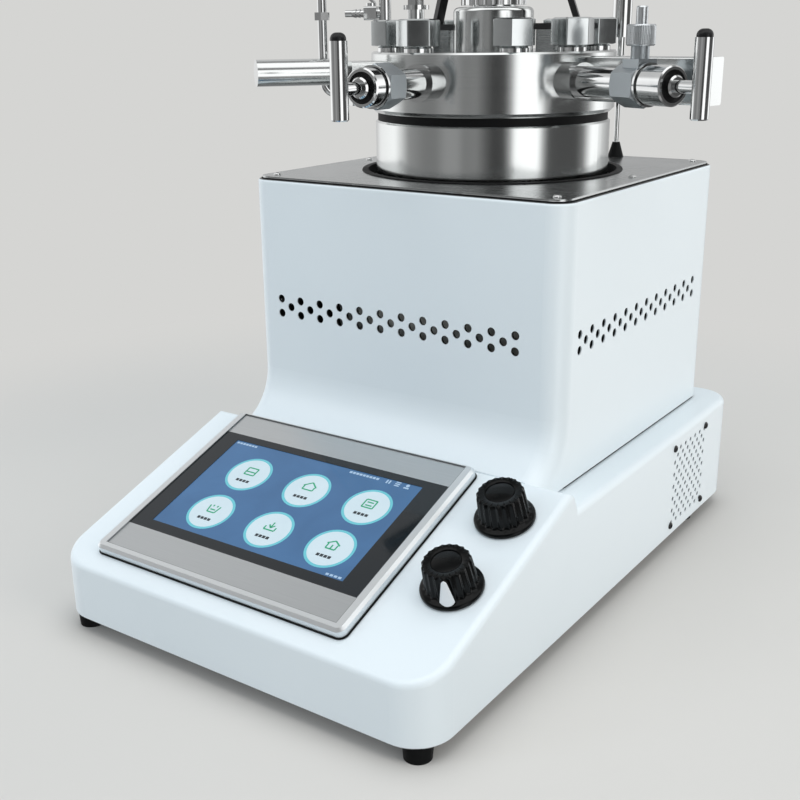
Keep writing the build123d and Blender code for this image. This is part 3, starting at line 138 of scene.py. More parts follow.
# %% [markdown]
# ## Finishes
#
# Colours are written as the eye sees them, in sRGB hex, and Blender wants linear light, so one
# function converts.  A second small function adds a node with its settings and its links; each
# finish below is then a few plain lines.

# %% Colour and node helpers
def linear(code, alpha=1.0):
    """sRGB hex to linear light: divide by 12.92 near black, else the 2.4 power curve."""
    c = np.array([int(code[k:k + 2], 16) for k in (1, 3, 5)]) / 255
    c = np.where(c <= 0.04045, c / 12.92, ((c + 0.055) / 1.055) ** 2.4)
    return (*c.tolist(), alpha)


def plug(tree, node, inputs):
    """Gives each input its value, or a link where the value is another node's output."""
    for key, value in inputs.items():
        if isinstance(value, bpy.types.NodeSocket):
            tree.links.new(value, node.inputs[key])
        else:
            node.inputs[key].default_value = value


def add(tree, kind, inputs, **settings):
    """Adds one node: settings are its attributes, inputs its values or the sockets that feed it."""
    node = tree.nodes.new("ShaderNode" + kind)
    for key, value in settings.items():
        setattr(node, key, value)
    plug(tree, node, inputs)
    return node.outputs


finishes = {}


def blank(name):
    """An empty node material with its Principled shader and its Object coordinates."""
    material = finishes[name] = bpy.data.materials.new(name)
    material.use_nodes = True
    tree = material.node_tree
    return material, tree, tree.nodes["Principled BSDF"], add(tree, "TexCoord", {})["Object"]


# A Mix node's colour sockets share their names with its number sockets, so they are reached by
# place: inputs 6 and 7 are colours A and B, and output 2 is the mixed colour.
COLOUR = {"data_type": "RGBA"}

# %% [markdown]
# ### Painted steel
#
# The housing is folded sheet steel with a baked white powder coat.  Powder melts into a skin with
# a very shallow orange peel about 2 mm across, so its reflections are soft and slightly uneven.
# Little light gets inside the housing, so its inner walls, seen through the holes and the fan grille,
# get painted shade: the finish goes dark between 0.5 and 1 mm under the outer skin.  The depth is
# worked out from a square with round corners, the cover in plan; what stands well above the plate
# is all skin.

# %% Painted shade under the skin
COVER_HALF, COVER_CORNER = 121.5 * MM, 14 * MM
COVER_ROOF = -0.6 * MM
# Painted shade starts 0.5 mm under the outer skin and is full at 1 mm.
SHADE_FROM, SHADE_TO = 0.5 * MM, 1.0 * MM
GRILLE_HALF, GRILLE_STEP = 34 * MM, 2.5 * MM


def painted_shade_depth(tree, place):
    """Painted shade: 1 inside the cover's walls and inside the fan grille, 0 on the outer skin."""
    low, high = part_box("top_plate")
    centre = ((low.x + high.x) / 2, (low.y + high.y) / 2, 0)
    spot = add(tree, "VectorMath", {0: place, 1: centre}, operation="SUBTRACT")[0]
    spot = add(tree, "VectorMath", {0: spot}, operation="ABSOLUTE")[0]
    inner = COVER_HALF - COVER_CORNER
    spot = add(tree, "VectorMath", {0: spot, 1: (inner, inner, 0)}, operation="SUBTRACT")[0]
    round_part = add(tree, "VectorMath", {0: spot, 1: (0, 0, -9)}, operation="MAXIMUM")[0]
    flat = add(tree, "VectorMath", {0: round_part, 1: (1, 1, 0)}, operation="MULTIPLY")[0]
    reach = add(tree, "VectorMath", {0: flat}, operation="LENGTH")["Value"]
    x, y, z = add(tree, "SeparateXYZ", {0: spot})
    flat_side = add(tree, "Math", {0: x, 1: y}, operation="MAXIMUM")[0]
    flat_side = add(tree, "Math", {0: flat_side, 1: 0}, operation="MINIMUM")[0]
    skin = add(tree, "Math", {0: reach, 1: flat_side}, operation="ADD")[0]
    height = add(tree, "SeparateXYZ", {0: place})["Z"]
    well_above = low.z + COVER_ROOF + COVER_CORNER
    roof = add(tree, "Math", {0: height, 1: well_above}, operation="SUBTRACT")[0]
    depth = add(tree, "Math", {0: skin, 1: roof}, operation="MAXIMUM")[0]
    start, end = COVER_CORNER - SHADE_FROM, COVER_CORNER - SHADE_TO
    inside = add(tree, "MapRange", {"Value": depth, "From Min": start, "From Max": end})[0]
    fan_low, fan_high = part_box("fan_frame")
    hub = tuple((fan_low + fan_high) / 2)
    grille = add(tree, "VectorMath", {0: place, 1: hub}, operation="SUBTRACT")[0]
    grille = add(tree, "VectorMath", {0: grille}, operation="ABSOLUTE")[0]
    u, v, w = add(tree, "SeparateXYZ", {0: grille})
    wall = (fan_high.x - fan_low.x) / 2 + GRILLE_STEP
    start, end = wall - SHADE_FROM, wall - 0.9 * MM
    near = add(tree, "MapRange", {"Value": u, "From Min": start, "From Max": end})[0]
    side = add(tree, "Math", {0: v, 1: w}, operation="MAXIMUM")[0]
    near_fan = add(tree, "Math", {0: side, 1: GRILLE_HALF}, operation="LESS_THAN")[0]
    behind = add(tree, "Math", {0: near, 1: near_fan}, operation="MULTIPLY")[0]
    return add(tree, "Math", {0: inside, 1: behind}, operation="MAXIMUM")[0]


# %% White powder coat
def powder_coat(name, dark, light, painted_shade=None):
    """Baked paint with a faint cloud in its colour, orange peel 2 mm across and painted shade inside."""
    material, tree, shader, place = blank(name)
    cloud = add(tree, "TexNoise", {"Vector": place, "Scale": 9.0, "Detail": 2.0})[0]
    tint = add(tree, "Mix", {0: cloud, 6: linear(dark), 7: linear(light)}, **COLOUR)[2]
    if painted_shade:
        # Painted shade: near black inside the housing, where little light gets in.
        tint = add(tree, "Mix", {0: painted_shade(tree, place), 6: tint, 7: linear("#0B0D0E")}, **COLOUR)[2]
    rough = add(tree, "MapRange", {"Value": cloud, "From Min": 0.3, "From Max": 0.7,
                                   "To Min": 0.34, "To Max": 0.42})[0]
    peel = add(tree, "TexNoise", {"Vector": place, "Scale": 480.0, "Detail": 1.5})[0]
    skin = add(tree, "Bump", {"Height": peel, "Strength": 0.12, "Distance": 0.05 * MM})[0]
    plug(tree, shader, {"Base Color": tint, "Roughness": rough, "Normal": skin})
    plug(tree, shader, {"IOR": 1.5, "Coat Weight": 0.2, "Coat Roughness": 0.2})


# The white coat carries painted shade inside the housing and behind the fan grille.
powder_coat("white_powder_coat", "#E1E9ED", "#E8EFF2", painted_shade_depth)
powder_coat("grey_paint", "#63676B", "#6E7276")

# %% [markdown]
# ### Stainless steel, five ways
#
# The same steel looks different for each tool that finished it.  A lathe leaves rings finer than
# a hair, drawn here 0.4 mm apart so that they show; a belt leaves straight scratches; a mop
# leaves a bright skin with faint clouds, and a hot forging under it is a little duller; glass
# beads leave an even matt grey.  A lathe's rings lie across the axis of the piece, so the pattern
# reads the height and the distance from the axis.

# %% Stainless steel finishes
def rings(tree, place):
    """Rings round the vessel: noise on (distance from the axis, height), both in 0.4 mm steps."""
    middle = add(tree, "VectorMath", {0: place, 1: (AXIS[0], AXIS[1], 0)}, operation="SUBTRACT")[0]
    x, y, z = add(tree, "SeparateXYZ", {0: middle})
    flat = add(tree, "CombineXYZ", {0: x, 1: y})[0]
    away = add(tree, "VectorMath", {0: flat}, operation="LENGTH")["Value"]
    spot = add(tree, "CombineXYZ", {0: away, 1: z})[0]
    fine = {"Vector": spot, "Scale": 2500.0, "Detail": 1.0}
    return add(tree, "TexNoise", fine, noise_dimensions="2D")[0]


def along_x(tree, place):
    """Straight scratches 0.45 mm apart and about 40 mm long, along X."""
    squeezed = add(tree, "Mapping", {"Vector": place, "Scale": (26, 2200, 2200)})[0]
    return add(tree, "TexNoise", {"Vector": squeezed, "Scale": 1.0, "Detail": 2.0})[0]


def along_z(tree, place):
    """Straight scratches 0.45 mm apart and about 40 mm long, upright."""
    squeezed = add(tree, "Mapping", {"Vector": place, "Scale": (2200, 2200, 26)})[0]
    return add(tree, "TexNoise", {"Vector": squeezed, "Scale": 1.0, "Detail": 2.0})[0]


def clouds(tree, place):
    """Faint clouds 6 mm across, as a polishing mop leaves them."""
    return add(tree, "TexNoise", {"Vector": place, "Scale": 160.0, "Detail": 4.0})[0]


def beads(tree, place):
    """Even pits 0.4 mm across."""
    return add(tree, "TexNoise", {"Vector": place, "Scale": 2600.0, "Detail": 1.0})[0]


def steel(name, dark, light, rough, pattern, depth_mm):
    """Metal whose tool marks come from pattern: they tint it, dent it and vary its roughness."""
    material, tree, shader, place = blank(name)
    marks = pattern(tree, place)
    tint = add(tree, "Mix", {0: marks, 6: linear(dark), 7: linear(light)}, **COLOUR)[2]
    smear = add(tree, "TexNoise", {"Vector": place, "Scale": 22.0, "Detail": 3.0})[0]
    worn = add(tree, "Math", {0: marks, 1: smear}, operation="MULTIPLY")[0]
    softness = add(tree, "MapRange", {"Value": worn, "From Min": 0.1, "From Max": 0.5,
                                      "To Min": rough[0], "To Max": rough[1]})[0]
    skin = add(tree, "Bump", {"Height": marks, "Strength": 0.3, "Distance": depth_mm * MM})[0]
    plug(tree, shader, {"Base Color": tint, "Roughness": softness, "Normal": skin, "Metallic": 1.0})


steel("turned_stainless", "#C6C9C9", "#D2D4D3", (0.13, 0.19), rings, 0.006)
steel("brushed_stainless", "#A6AAAB", "#B8BBBB", (0.20, 0.32), along_x, 0.012)
steel("forged_stainless", "#BDC1C2", "#C6CACA", (0.14, 0.20), clouds, 0.003)
steel("polished_stainless", "#CACCCC", "#D8D9D9", (0.06, 0.12), clouds, 0.002)
steel("blasted_stainless", "#A9B0B4", "#B9C0C4", (0.36, 0.48), beads, 0.02)
steel("zinc_plated_steel", "#9EA1A3", "#B6B9BA", (0.30, 0.45), along_z, 0.01)
steel("anodised_aluminium", "#C6CBCE", "#D6DADC", (0.26, 0.38), along_x, 0.01)
steel("cast_aluminium", "#96989A", "#ADAFB0", (0.45, 0.62), beads, 0.08)

# %% [markdown]
# ### Panel frame
#
# The touch panel sits in an aluminium frame.  Its raised rim is bead blasted and clear anodised, a
# light even silver; the sunk bands above and below the glass are brushed and look greyer.  One
# rectangle on the desk, the sunk part's outline, decides between them, with a fine dark line
# along it where the two meet.

# %% Panel frame
PANEL_U, PANEL_S, PANEL_HALF, PANEL_CORNER = -18.0, 87.8, (98.0, 74.25), 5.0
SUNK_MIDDLE, SUNK_HALF, FRAME_TOP = 89.1, (91.4, 70.35), 7.0

material, tree, shader, place = blank("anodised_frame")
middle = on_desk(PANEL_U, SUNK_MIDDLE, FRAME_TOP)
on_frame = {"Vector": place, "Location": middle, "Rotation": (SLOPE, 0, 0)}
flat = add(tree, "Mapping", on_frame, vector_type="TEXTURE")[0]
spot = add(tree, "VectorMath", {0: flat}, operation="ABSOLUTE")[0]
u, s, out = add(tree, "SeparateXYZ", {0: spot})
past_u = add(tree, "Math", {0: u, 1: SUNK_HALF[0] * MM}, operation="SUBTRACT")[0]
past_s = add(tree, "Math", {0: s, 1: SUNK_HALF[1] * MM}, operation="SUBTRACT")[0]
past = add(tree, "Math", {0: past_u, 1: past_s}, operation="MAXIMUM")[0]
rim = add(tree, "MapRange", {"Value": past, "From Min": -0.1 * MM, "From Max": 0.1 * MM})[0]
squeezed = add(tree, "Mapping", {"Vector": flat, "Scale": (30, 2600, 2600)})[0]
hair = add(tree, "TexNoise", {"Vector": squeezed, "Scale": 1.0, "Detail": 2.0})[0]
band = add(tree, "Mix", {0: hair, 6: linear("#C4C8CA"), 7: linear("#D2D6D8")}, **COLOUR)[2]
tint = add(tree, "Mix", {0: rim, 6: band, 7: linear("#E4E8EA")}, **COLOUR)[2]
edge = add(tree, "Math", {0: past}, operation="ABSOLUTE")[0]
line = add(tree, "MapRange", {"Value": edge, "From Min": 0.2 * MM, "From Max": 0.4 * MM,
                              "To Min": 0.6, "To Max": 0.0})[0]
tint = add(tree, "Mix", {0: line, 6: tint, 7: linear("#3A3E40")}, **COLOUR)[2]
softness = add(tree, "MapRange", {"Value": rim, "To Min": 0.30, "To Max": 0.42})[0]
skin = add(tree, "Bump", {"Height": hair, "Strength": 0.15, "Distance": 0.006 * MM})[0]
plug(tree, shader, {"Base Color": tint, "Roughness": softness, "Normal": skin, "Metallic": 1.0})

# %% [markdown]
# ### Black parts, fluoropolymer, fibre and circuit board
#
# The black parts are not one black.  Rubber is matt and grey with dust, a phenolic knob has a
# moulded gloss, blackened steel shows a hint of metal.  Each gets its own roughness and grain.

# %% Plastics, rubber and the rest
def moulding(name, dark, light, rough, grain_mm, depth_mm, ior=1.5, shine=0.5):
    """Non-metal with a moulded grain of a real size, and broad patches where it is worn."""
    material, tree, shader, place = blank(name)
    wear = add(tree, "TexNoise", {"Vector": place, "Scale": 30.0, "Detail": 2.0})[0]
    tint = add(tree, "Mix", {0: wear, 6: linear(dark), 7: linear(light)}, **COLOUR)[2]
    softness = add(tree, "MapRange", {"Value": wear, "From Min": 0.35, "From Max": 0.65,
                                      "To Min": rough[0], "To Max": rough[1]})[0]
    pits = add(tree, "TexNoise", {"Vector": place, "Scale": 1 / (grain_mm * MM), "Detail": 2.0})[0]
    skin = add(tree, "Bump", {"Height": pits, "Strength": 0.3, "Distance": depth_mm * MM})[0]
    plug(tree, shader, {"Base Color": tint, "Roughness": softness, "Normal": skin})
    plug(tree, shader, {"IOR": ior, "Specular IOR Level": shine})


moulding("black_rubber", "#050607", "#0B0C0D", (0.55, 0.70), 0.8, 0.03, shine=0.2)
moulding("black_plastic", "#08090A", "#101112", (0.36, 0.50), 0.6, 0.02, 1.53, 0.3)
moulding("black_phenolic", "#020303", "#050607", (0.16, 0.24), 1.2, 0.004, 1.5, 0.16)
moulding("black_acrylic", "#0D1418", "#121A20", (0.05, 0.09), 4.0, 0.001, 1.49)
moulding("black_oxide_steel", "#08090A", "#101113", (0.28, 0.40), 0.7, 0.02, 1.7, 0.4)
moulding("ptfe", "#E6E6E3", "#F0F0EE", (0.35, 0.45), 1.5, 0.01, 1.38)
moulding("ceramic_fibre", "#DCDAD2", "#EFEDE6", (0.85, 0.95), 1.0, 0.3)
moulding("circuit_laminate", "#0E4A25", "#14602F", (0.30, 0.42), 2.0, 0.02)
moulding("pointer_white", "#D9DDE0", "#E6E9EB", (0.30, 0.38), 1.0, 0.01)

# %% [markdown]
# ## The lit screen
#
# The panel is a liquid crystal display: a blue page with soft lighter swirls, behind a clear
# front.  Light comes from the page itself, so the finish glows a little and keeps a glossy front.
# A Mapping node turned by the desk's slope lays the pattern square on the page.

# %% Display finish
PAGE_U, PAGE_S = -19.0, 90.2

material, tree, shader, place = blank("display_panel")
middle = on_desk(PAGE_U, PAGE_S, 5.9)
on_page = {"Vector": place, "Location": middle, "Rotation": (SLOPE, 0, 0)}
page = add(tree, "Mapping", on_page, vector_type="TEXTURE")[0]
swirl = add(tree, "TexNoise", {"Vector": page, "Scale": 14.0, "Detail": 3.0, "Distortion": 1.2})[0]
ink = add(tree, "Mix", {0: swirl, 6: linear("#2B4C6F"), 7: linear("#3F678F")}, **COLOUR)[2]
plug(tree, shader, {"Base Color": ink, "Emission Color": ink})
plug(tree, shader, {"Emission Strength": 0.4, "Roughness": 0.06, "IOR": 1.49})


def glow(name, dark, light, strength):
    """Screen ink: shows its colour by its own light, with a glossy front."""
    material, tree, shader, place = blank(name)
    cloud = add(tree, "TexNoise", {"Vector": place, "Scale": 60.0, "Detail": 2.0})[0]
    ink = add(tree, "Mix", {0: cloud, 6: linear(dark), 7: linear(light)}, **COLOUR)[2]
    plug(tree, shader, {"Base Color": ink, "Emission Color": ink})
    plug(tree, shader, {"Emission Strength": strength, "Roughness": 0.08})


glow("screen_white", "#BCCCD3", "#C6D4DA", 0.15)
glow("screen_teal", "#58AAB6", "#6ABBC5", 0.2)
glow("screen_green", "#1B8C64", "#269A72", 0.2)
glow("screen_ink", "#20272C", "#2E373D", 0.05)
glow("screen_pale", "#8FAAC4", "#A5BCD2", 0.2)

# %% [markdown]
# ## Dress the solids
#
# Every solid from the frame takes the finish of the material slot that its record names: slots
# and finishes share their names, so one lookup dresses them all.

# %% Finishes onto the solids
for part in frame["record"]["subparts"]:
    solid = nodes[part["node"]]
    solid.data.materials.clear()
    solid.data.materials.append(finishes[part["material_slot"]])
nodes["hmi_bezel"].data.materials[0] = finishes["anodised_frame"]
print(len(finishes), "finishes on", len(nodes), "nodes")

# %% [markdown]
# ### Round buttons and their signs
#
# Six round buttons stand on the page in two rows, each a white disc in a teal rim with a plain
# green sign and a short dark caption of four bars.  Each shape is a thin plate a few hundredths of
# a millimetre above the page, so it never fights with the page for the same pixels.  Signs and
# marks are lists of strokes in millimetres: where each starts, and its run across and up the slope.

# %% Buttons
BUTTONS = [(u, s) for s in (106.0, 67.0) for u in (-62.5, -13.8, 33.8)]
RIM, RIM_INNER, BUTTON = 16.2, 14.0, 14.4
PAGE = 5.93
LAYER_1, LAYER_2, THIN = PAGE + 0.04, PAGE + 0.1, 0.02


def disc(u, s, radius, out, inner=0.0, columns=48):
    """Flat ring on the desk: circles of the inner and outer radius round (u, s), with a rim."""
    turn = np.linspace(0, 2 * math.pi, columns, endpoint=False)
    r = np.array([inner, inner, radius, radius])[:, None]
    height = np.array([out - THIN, out, out, out - THIN])[:, None]
    if inner == 0:
        r, height = r[1:], height[1:]
    return on_desk(u + r * np.cos(turn), s + r * np.sin(turn), height + 0 * turn)


def bar(u, s, run, rise, width, out):
    """Thin plate along the line from (u, s) by (run, rise): half the width to either side of it."""
    length = math.hypot(run, rise)
    side = np.array([-rise, run]) / length * width / 2
    a, b = np.array([u, s]), np.array([u + run, s + rise])
    ring = np.array([a - side, b - side, b + side, a + side])
    centre = ring.mean(0)
    rows = np.array([ring, ring, np.repeat(centre[None], 4, 0)])
    height = np.array([out - THIN, out, out])[:, None]
    return on_desk(rows[..., 0], rows[..., 1], height + np.zeros(4))


rims = [disc(u, s, RIM, PAGE, RIM_INNER) for u, s in BUTTONS]
discs = [disc(u, s, BUTTON, LAYER_1) for u, s in BUTTONS]
surface("screen_button_rims", rims, "reactor", "screen_teal")
surface("screen_button_discs", discs, "reactor", "screen_white")

SIGNS = [
    [(-4, -3, 8, 0), (-4, 3.6, 8, 0), (-4, -3, 0, 6.6), (4, -3, 0, 6.6), (-4, -0.2, 8, 0)],
    [(-4, -2, 8, 0), (-4, -2, 0, 3.4), (4, -2, 0, 3.4), (-5, 1.2, 5, 4), (5, 1.2, -5, 4)],
    [(-4, -3, 8, 0), (-4, 4, 8, 0), (-4, -3, 0, 7), (4, -3, 0, 7),
     (-2.4, -1, 4.8, 0), (-2.4, 1.8, 4.8, 0)],
    [(-3, -3, 6, 0), (-3, -3, -1.2, 6), (3, -3, 1.2, 6), (-2, -0.6, 4, 0),
     (-1.6, 2, 0, 1.6), (1.6, 2, 0, 1.6)],
    [(-4, -3, 8, 0), (-4, -3, 0, 3), (4, -3, 0, 3), (0, -1, 0, 5),
     (0, -1, -2.2, 2.4), (0, -1, 2.2, 2.4)],
    [(-3.4, -3, 6.8, 0), (-3.4, -3, 0, 4), (3.4, -3, 0, 4), (-4.6, 1, 4.6, 3),
     (4.6, 1, -4.6, 3), (0, -3, 0, 3.6)],
]
SIGN_UP, STROKE = 2.5, 1.0
strokes = [bar(u + x, s + SIGN_UP + y, dx, dy, STROKE, LAYER_2)
           for (u, s), sign in zip(BUTTONS, SIGNS) for x, y, dx, dy in sign]
surface("screen_button_signs", strokes, "reactor", "screen_green")
captions = [bar(u - 5.4 + 2.8 * k, s - 6.8, 2.2, 0, 2.2, LAYER_2)
            for u, s in BUTTONS for k in range(4)]
surface("screen_captions", captions, "reactor", "screen_ink")
marks = [bar(-94 + 2.6 * k, 131.6, 2.0, 0, 1.6, LAYER_1) for k in range(7)]
marks += [bar(3 + 2.6 * k, 131.2, 2.0, 0, 1.8, LAYER_1) for k in range(9)]
marks += [bar(u, 129.6, 0, 3.2, 1.1, LAYER_1) for u in (32.2, 34.2)]
marks += [bar(38.4, s, 3.6, 0, 0.9, LAYER_1) for s in (129.6, 131.2, 132.8)]
marks += [disc(47.5, 131.9, 1.3, LAYER_1, columns=20), bar(45.6, 129.6, 3.8, 0, 1.2, LAYER_1)]
marks += [bar(44 + 3 * k, 48.6, 2.2, 0, 1.6, LAYER_1) for k in range(4)]
surface("screen_status_marks", marks, "reactor", "screen_pale")
print(len(BUTTONS), "buttons,", len(strokes), "strokes")

# %% [markdown]
# ## The two dials
#
# A dial is a moulded phenolic knob: a glossy skirt, twenty fine flutes for the fingers, a flat rim
# and a round cap pressed into the top.  Its outline is one profile turned round the spindle; the
# flutes come from scaling the radius by a cosine of twenty turns, only between the skirt and the
# rim.  A white pointer is moulded into the side, a tear drop that is widest at the skirt.

# %% Fluted dials
DIAL_PROFILE = [
    (3.1, 0.6), (18.0, 0.6), (18.4, 1.0), (18.4, 2.4), (18.0, 3.2), (17.0, 3.7),
    (15.6, 4.0), (15.1, 4.6), (15.0, 6.0), (14.9, 9.0), (14.7, 12.0), (14.5, 15.0),
    (14.3, 18.0), (14.2, 19.4), (14.0, 20.3), (13.5, 20.8), (9.2, 20.8), (8.9, 20.5),
    (8.8, 20.0), (8.5, 20.0), (8.4, 20.3), (8.0, 20.5), (0.0, 20.5),
]
DIAL_TOP = max(height for radius, height in DIAL_PROFILE)
SKIRT_ROW, RIM_ROW, SKIRT_TOP = 5, 15, 3.8
FLUTES, FLUTE_DEPTH = 20, 0.075
DROP_FOOT, DROP_CLIMB = 2.9, 16.6
DROP_REACH, DROP_LEAN = 17.6, 3.1
DROP_HALF, DROP_TAPER = 4.9, 3.7
DROP_SECTION = [(0, -1), (0.3, -0.8), (0.5, -0.4), (0.5, 0.4), (0.3, 0.8), (0, 1),
                (-7, 0.5), (-7, -0.5)]


def tear_drop(u, s, facing, proud, wider):
    """Solid that climbs the dial's side: one section, its half-width a falling line times a
    square root that rounds the foot and the tip, its reach less by a power of the climb."""
    climb = np.linspace(0, 1, 26)
    height = DROP_FOOT - wider * 0.6 + (DROP_CLIMB + wider * 1.2) * climb
    reach = DROP_REACH + proud - DROP_LEAN * climb ** 0.45
    rounded = np.sqrt(np.clip(np.minimum(climb * 6, (1 - climb) * 12), 0, 1))
    half = (DROP_HALF - DROP_TAPER * climb) * rounded + wider
    angle = math.radians(facing)
    section = np.array(DROP_SECTION)
    out = reach[:, None] - 0.5 + section[None, :, 0]
    across = half[:, None] * section[None, :, 1]
    x = out * math.cos(angle) - across * math.sin(angle)
    y = out * math.sin(angle) + across * math.cos(angle)
    grid = np.stack([x, y, np.repeat(height[:, None], len(section), 1)], -1)
    ends = [np.repeat(row.mean(0)[None, None], len(section), 1) for row in (grid[0], grid[-1])]
    grid = np.concatenate([ends[0], grid, ends[1]])
    return on_desk(u + grid[..., 0], s + grid[..., 1], grid[..., 2])


def fluted_dial(name, node, body, s, facing):
    """Profile turned round the spindle, its radius less by a power of (1 + cosine of 20 turns) / 2
    where it is fluted, and its white pointer, which faces that many degrees from ACROSS."""
    turn = np.linspace(0, 2 * math.pi, 240, endpoint=False)
    height = np.array(DIAL_PROFILE)[:, 1][:, None]
    rows = np.arange(len(DIAL_PROFILE))[:, None]
    fluted = (rows > SKIRT_ROW) & (rows < RIM_ROW)
    reach = np.where(fluted, np.clip((height - SKIRT_TOP) / 1.2, 0, 1), 0)
    reach = np.where(rows == RIM_ROW, 0.6, reach)
    groove = (0.5 + 0.5 * np.cos(FLUTES * turn)) ** 0.7
    grid = lathe(DIAL_PROFILE, on_desk(KNOB_U, s, 0.0), OUT, 240, 1 - FLUTE_DEPTH * reach * groove)
    knob = surface(name, [grid], body, "black_phenolic", smooth=50)
    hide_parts(node)
    white, black = tear_drop(KNOB_U, s, facing, 0.5, 0.0), tear_drop(KNOB_U, s, facing, -0.25, 0.7)
    surface(name + "_pointer", [white], body, "pointer_white", smooth=40)
    surface(name + "_fin", [black], body, "black_phenolic", smooth=40)


fluted_dial("speed_dial_skin", "speed_knob", "speed_dial", SPEED_S, -66)
fluted_dial("heat_dial_skin", "heat_knob", "heat_dial", HEAT_S, 90)
print("dials stand", DIAL_TOP, "mm high with", FLUTES, "flutes")

# %% [markdown]
# ## Knurled knob of the sampling valve
#
# A straight knurl is a ring of fine upright grooves that a hardened wheel presses into the knob.
# The surface's radius follows the size of a sine of twenty-four turns, which leaves forty-eight
# ribs on a knob of pale anodised aluminium.

# %% Knurled knob
KNOB_TALL, KNURL_RADIUS, KNURL_DEPTH, RIBS = 22, 8.5, 0.04, 48
low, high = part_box("sample_knob")
foot = np.array([(low.x + high.x) / 2, (low.y + high.y) / 2, high.z - KNOB_TALL * MM])
rise = np.concatenate([[0, 0, 0.5], np.linspace(0.9, 11.1, 24),
                       [11.5, 12, 12, 12.0, 21.2, KNOB_TALL, KNOB_TALL]])
radius = np.concatenate([[3.4, 7.7, 8.2], np.full(24, KNURL_RADIUS),
                         [8.2, 7.7, 4.4, 3.4, 3.4, 2.8, 0]])
turn = np.linspace(0, 2 * math.pi, 240, endpoint=False)
valleys = (1 - np.abs(np.sin(RIBS // 2 * turn))) ** 2
knurled = (radius == KNURL_RADIUS)[:, None]
grid = lathe(np.stack([radius, rise], 1), foot, (0, 0, 1), 240, 1 - KNURL_DEPTH * knurled * valleys)
knurl = surface("sample_knob_skin", [grid], "sample_valve", "anodised_aluminium",
                smooth=30)
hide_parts("sample_knob")
print("knurl of", RIBS, "ribs")

# %% [markdown]
# ## Screws
#
# The stainless plate and the fan are held by small button-head screws with a six-sided socket.
# One profile makes them all: the rows inside the socket are scaled to a hexagon.

# %% Button-head screws
HEAD = [(1.5, -2.0), (1.5, 0.0), (2.6, 0.0), (2.6, 0.35), (2.35, 0.95), (1.8, 1.38),
        (1.35, 1.5), (1.2, 1.4), (1.2, 0.5), (0, 0.45)]
SOCKET_ROW = 7
PLATE_SPAN, FAN_SPAN = 108 * MM, 30 * MM


def screw(origin, axis):
    """Head profile turned round its axis; its socket's radius goes by 1 / cos of the angle from
    the middle of the nearest flat."""
    turn = np.linspace(0, 2 * math.pi, 36, endpoint=False)
    hexagon = 0.92 / np.cos((turn % (math.pi / 3)) - math.pi / 6)
    wobble = np.where(np.arange(len(HEAD))[:, None] >= SOCKET_ROW, hexagon, 1.0)
    return lathe(HEAD, origin, axis, 36, wobble)


plate_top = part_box("top_plate")[1].z
spots = [(i * PLATE_SPAN, j * PLATE_SPAN) for i in (-1, 0, 1) for j in (-1, 0, 1)
         if (i or j) and (i, j) != (0, -1)]
heads = [screw((AXIS[0] + x, AXIS[1] + y, plate_top), (0, 0, 1)) for x, y in spots]
steel_head = "polished_stainless"
plate_screws = surface("plate_screw_heads", heads, "reactor", steel_head, smooth=30)
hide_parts("panel_screws")

low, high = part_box("fan_frame")
grille_face, middle = high.x + GRILLE_STEP, ((low.y + high.y) / 2, (low.z + high.z) / 2)
corners = [(grille_face, middle[0] + i * FAN_SPAN, middle[1] + j * FAN_SPAN)
           for i in (-1, 1) for j in (-1, 1)]
heads = [screw(spot, (1, 0, 0)) for spot in corners]
surface("fan_screw_heads", heads, "reactor", "black_oxide_steel", smooth=30)
print(len(spots), "plate screws,", len(corners), "fan screws")

# %% [markdown]
# ## Two thin edges
#
# The plate's top edge is broken by a fine slanting cut that catches a bright line of light, and a
# black bead all round the touch panel is painted shade: a dark sheet that draws the shadow gap
# under the panel's edge.  Both are small sections carried along a rectangle with round corners, so
# one function gives the outline and its outward direction.

# %% Plate edge and painted shadow round the panel
PLATE_CORNER = 11.0
EDGE_CUT = [(0.12, -1.0), (0.12, -0.9), (-0.9, 0.04), (-1.2, 0.04), (-1.2, -1.0)]
BEAD_HALF, BEAD_TALL, BEAD_OUT = 0.75, 0.6, 0.1


def outline(half_x, half_y, corner):
    """Closed rounded rectangle: arcs about the four corner centres, as x, y and the outward way."""
    quarter = np.arange(4)[:, None] * math.pi / 2 + np.linspace(0, math.pi / 2, 12)
    sign = np.array([(1, 1), (-1, 1), (-1, -1), (1, -1)])
    x = sign[:, :1] * (half_x - corner) + corner * np.cos(quarter)
    y = sign[:, 1:] * (half_y - corner) + corner * np.sin(quarter)
    parts = (x, y, np.cos(quarter), np.sin(quarter))
    return [np.append(part.ravel(), part.ravel()[0])[:, None] for part in parts]


low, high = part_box("top_plate")
half = ((high.x - low.x) / 2 / MM, (high.y - low.y) / 2 / MM)
x, y, way_x, way_y = outline(*half, PLATE_CORNER)
swell, lift = np.array(EDGE_CUT).T
edge = np.stack([AXIS[0] + (x + way_x * swell) * MM,
                 AXIS[1] + (y + way_y * swell) * MM,
                 high.z + lift * MM + 0 * x], -1)
surface("plate_edge", [edge], "reactor", "polished_stainless", smooth=25)

# A black bead all round the panel: painted shade that draws the shadow gap under its edge.
ring = np.linspace(0, 2 * math.pi, 12, endpoint=False)
x, y, way_x, way_y = outline(*PANEL_HALF, PANEL_CORNER)
swell = BEAD_HALF * np.cos(ring) + BEAD_OUT
lift = BEAD_TALL + BEAD_TALL * np.sin(ring) + 0 * x
bead = on_desk(PANEL_U + x + way_x * swell, PANEL_S + y + way_y * swell, lift)
surface("panel_painted_shadow_bead", [bead], "reactor", "black_rubber", smooth=60)
print("plate edge", [round(2 * h, 1) for h in half], "mm")

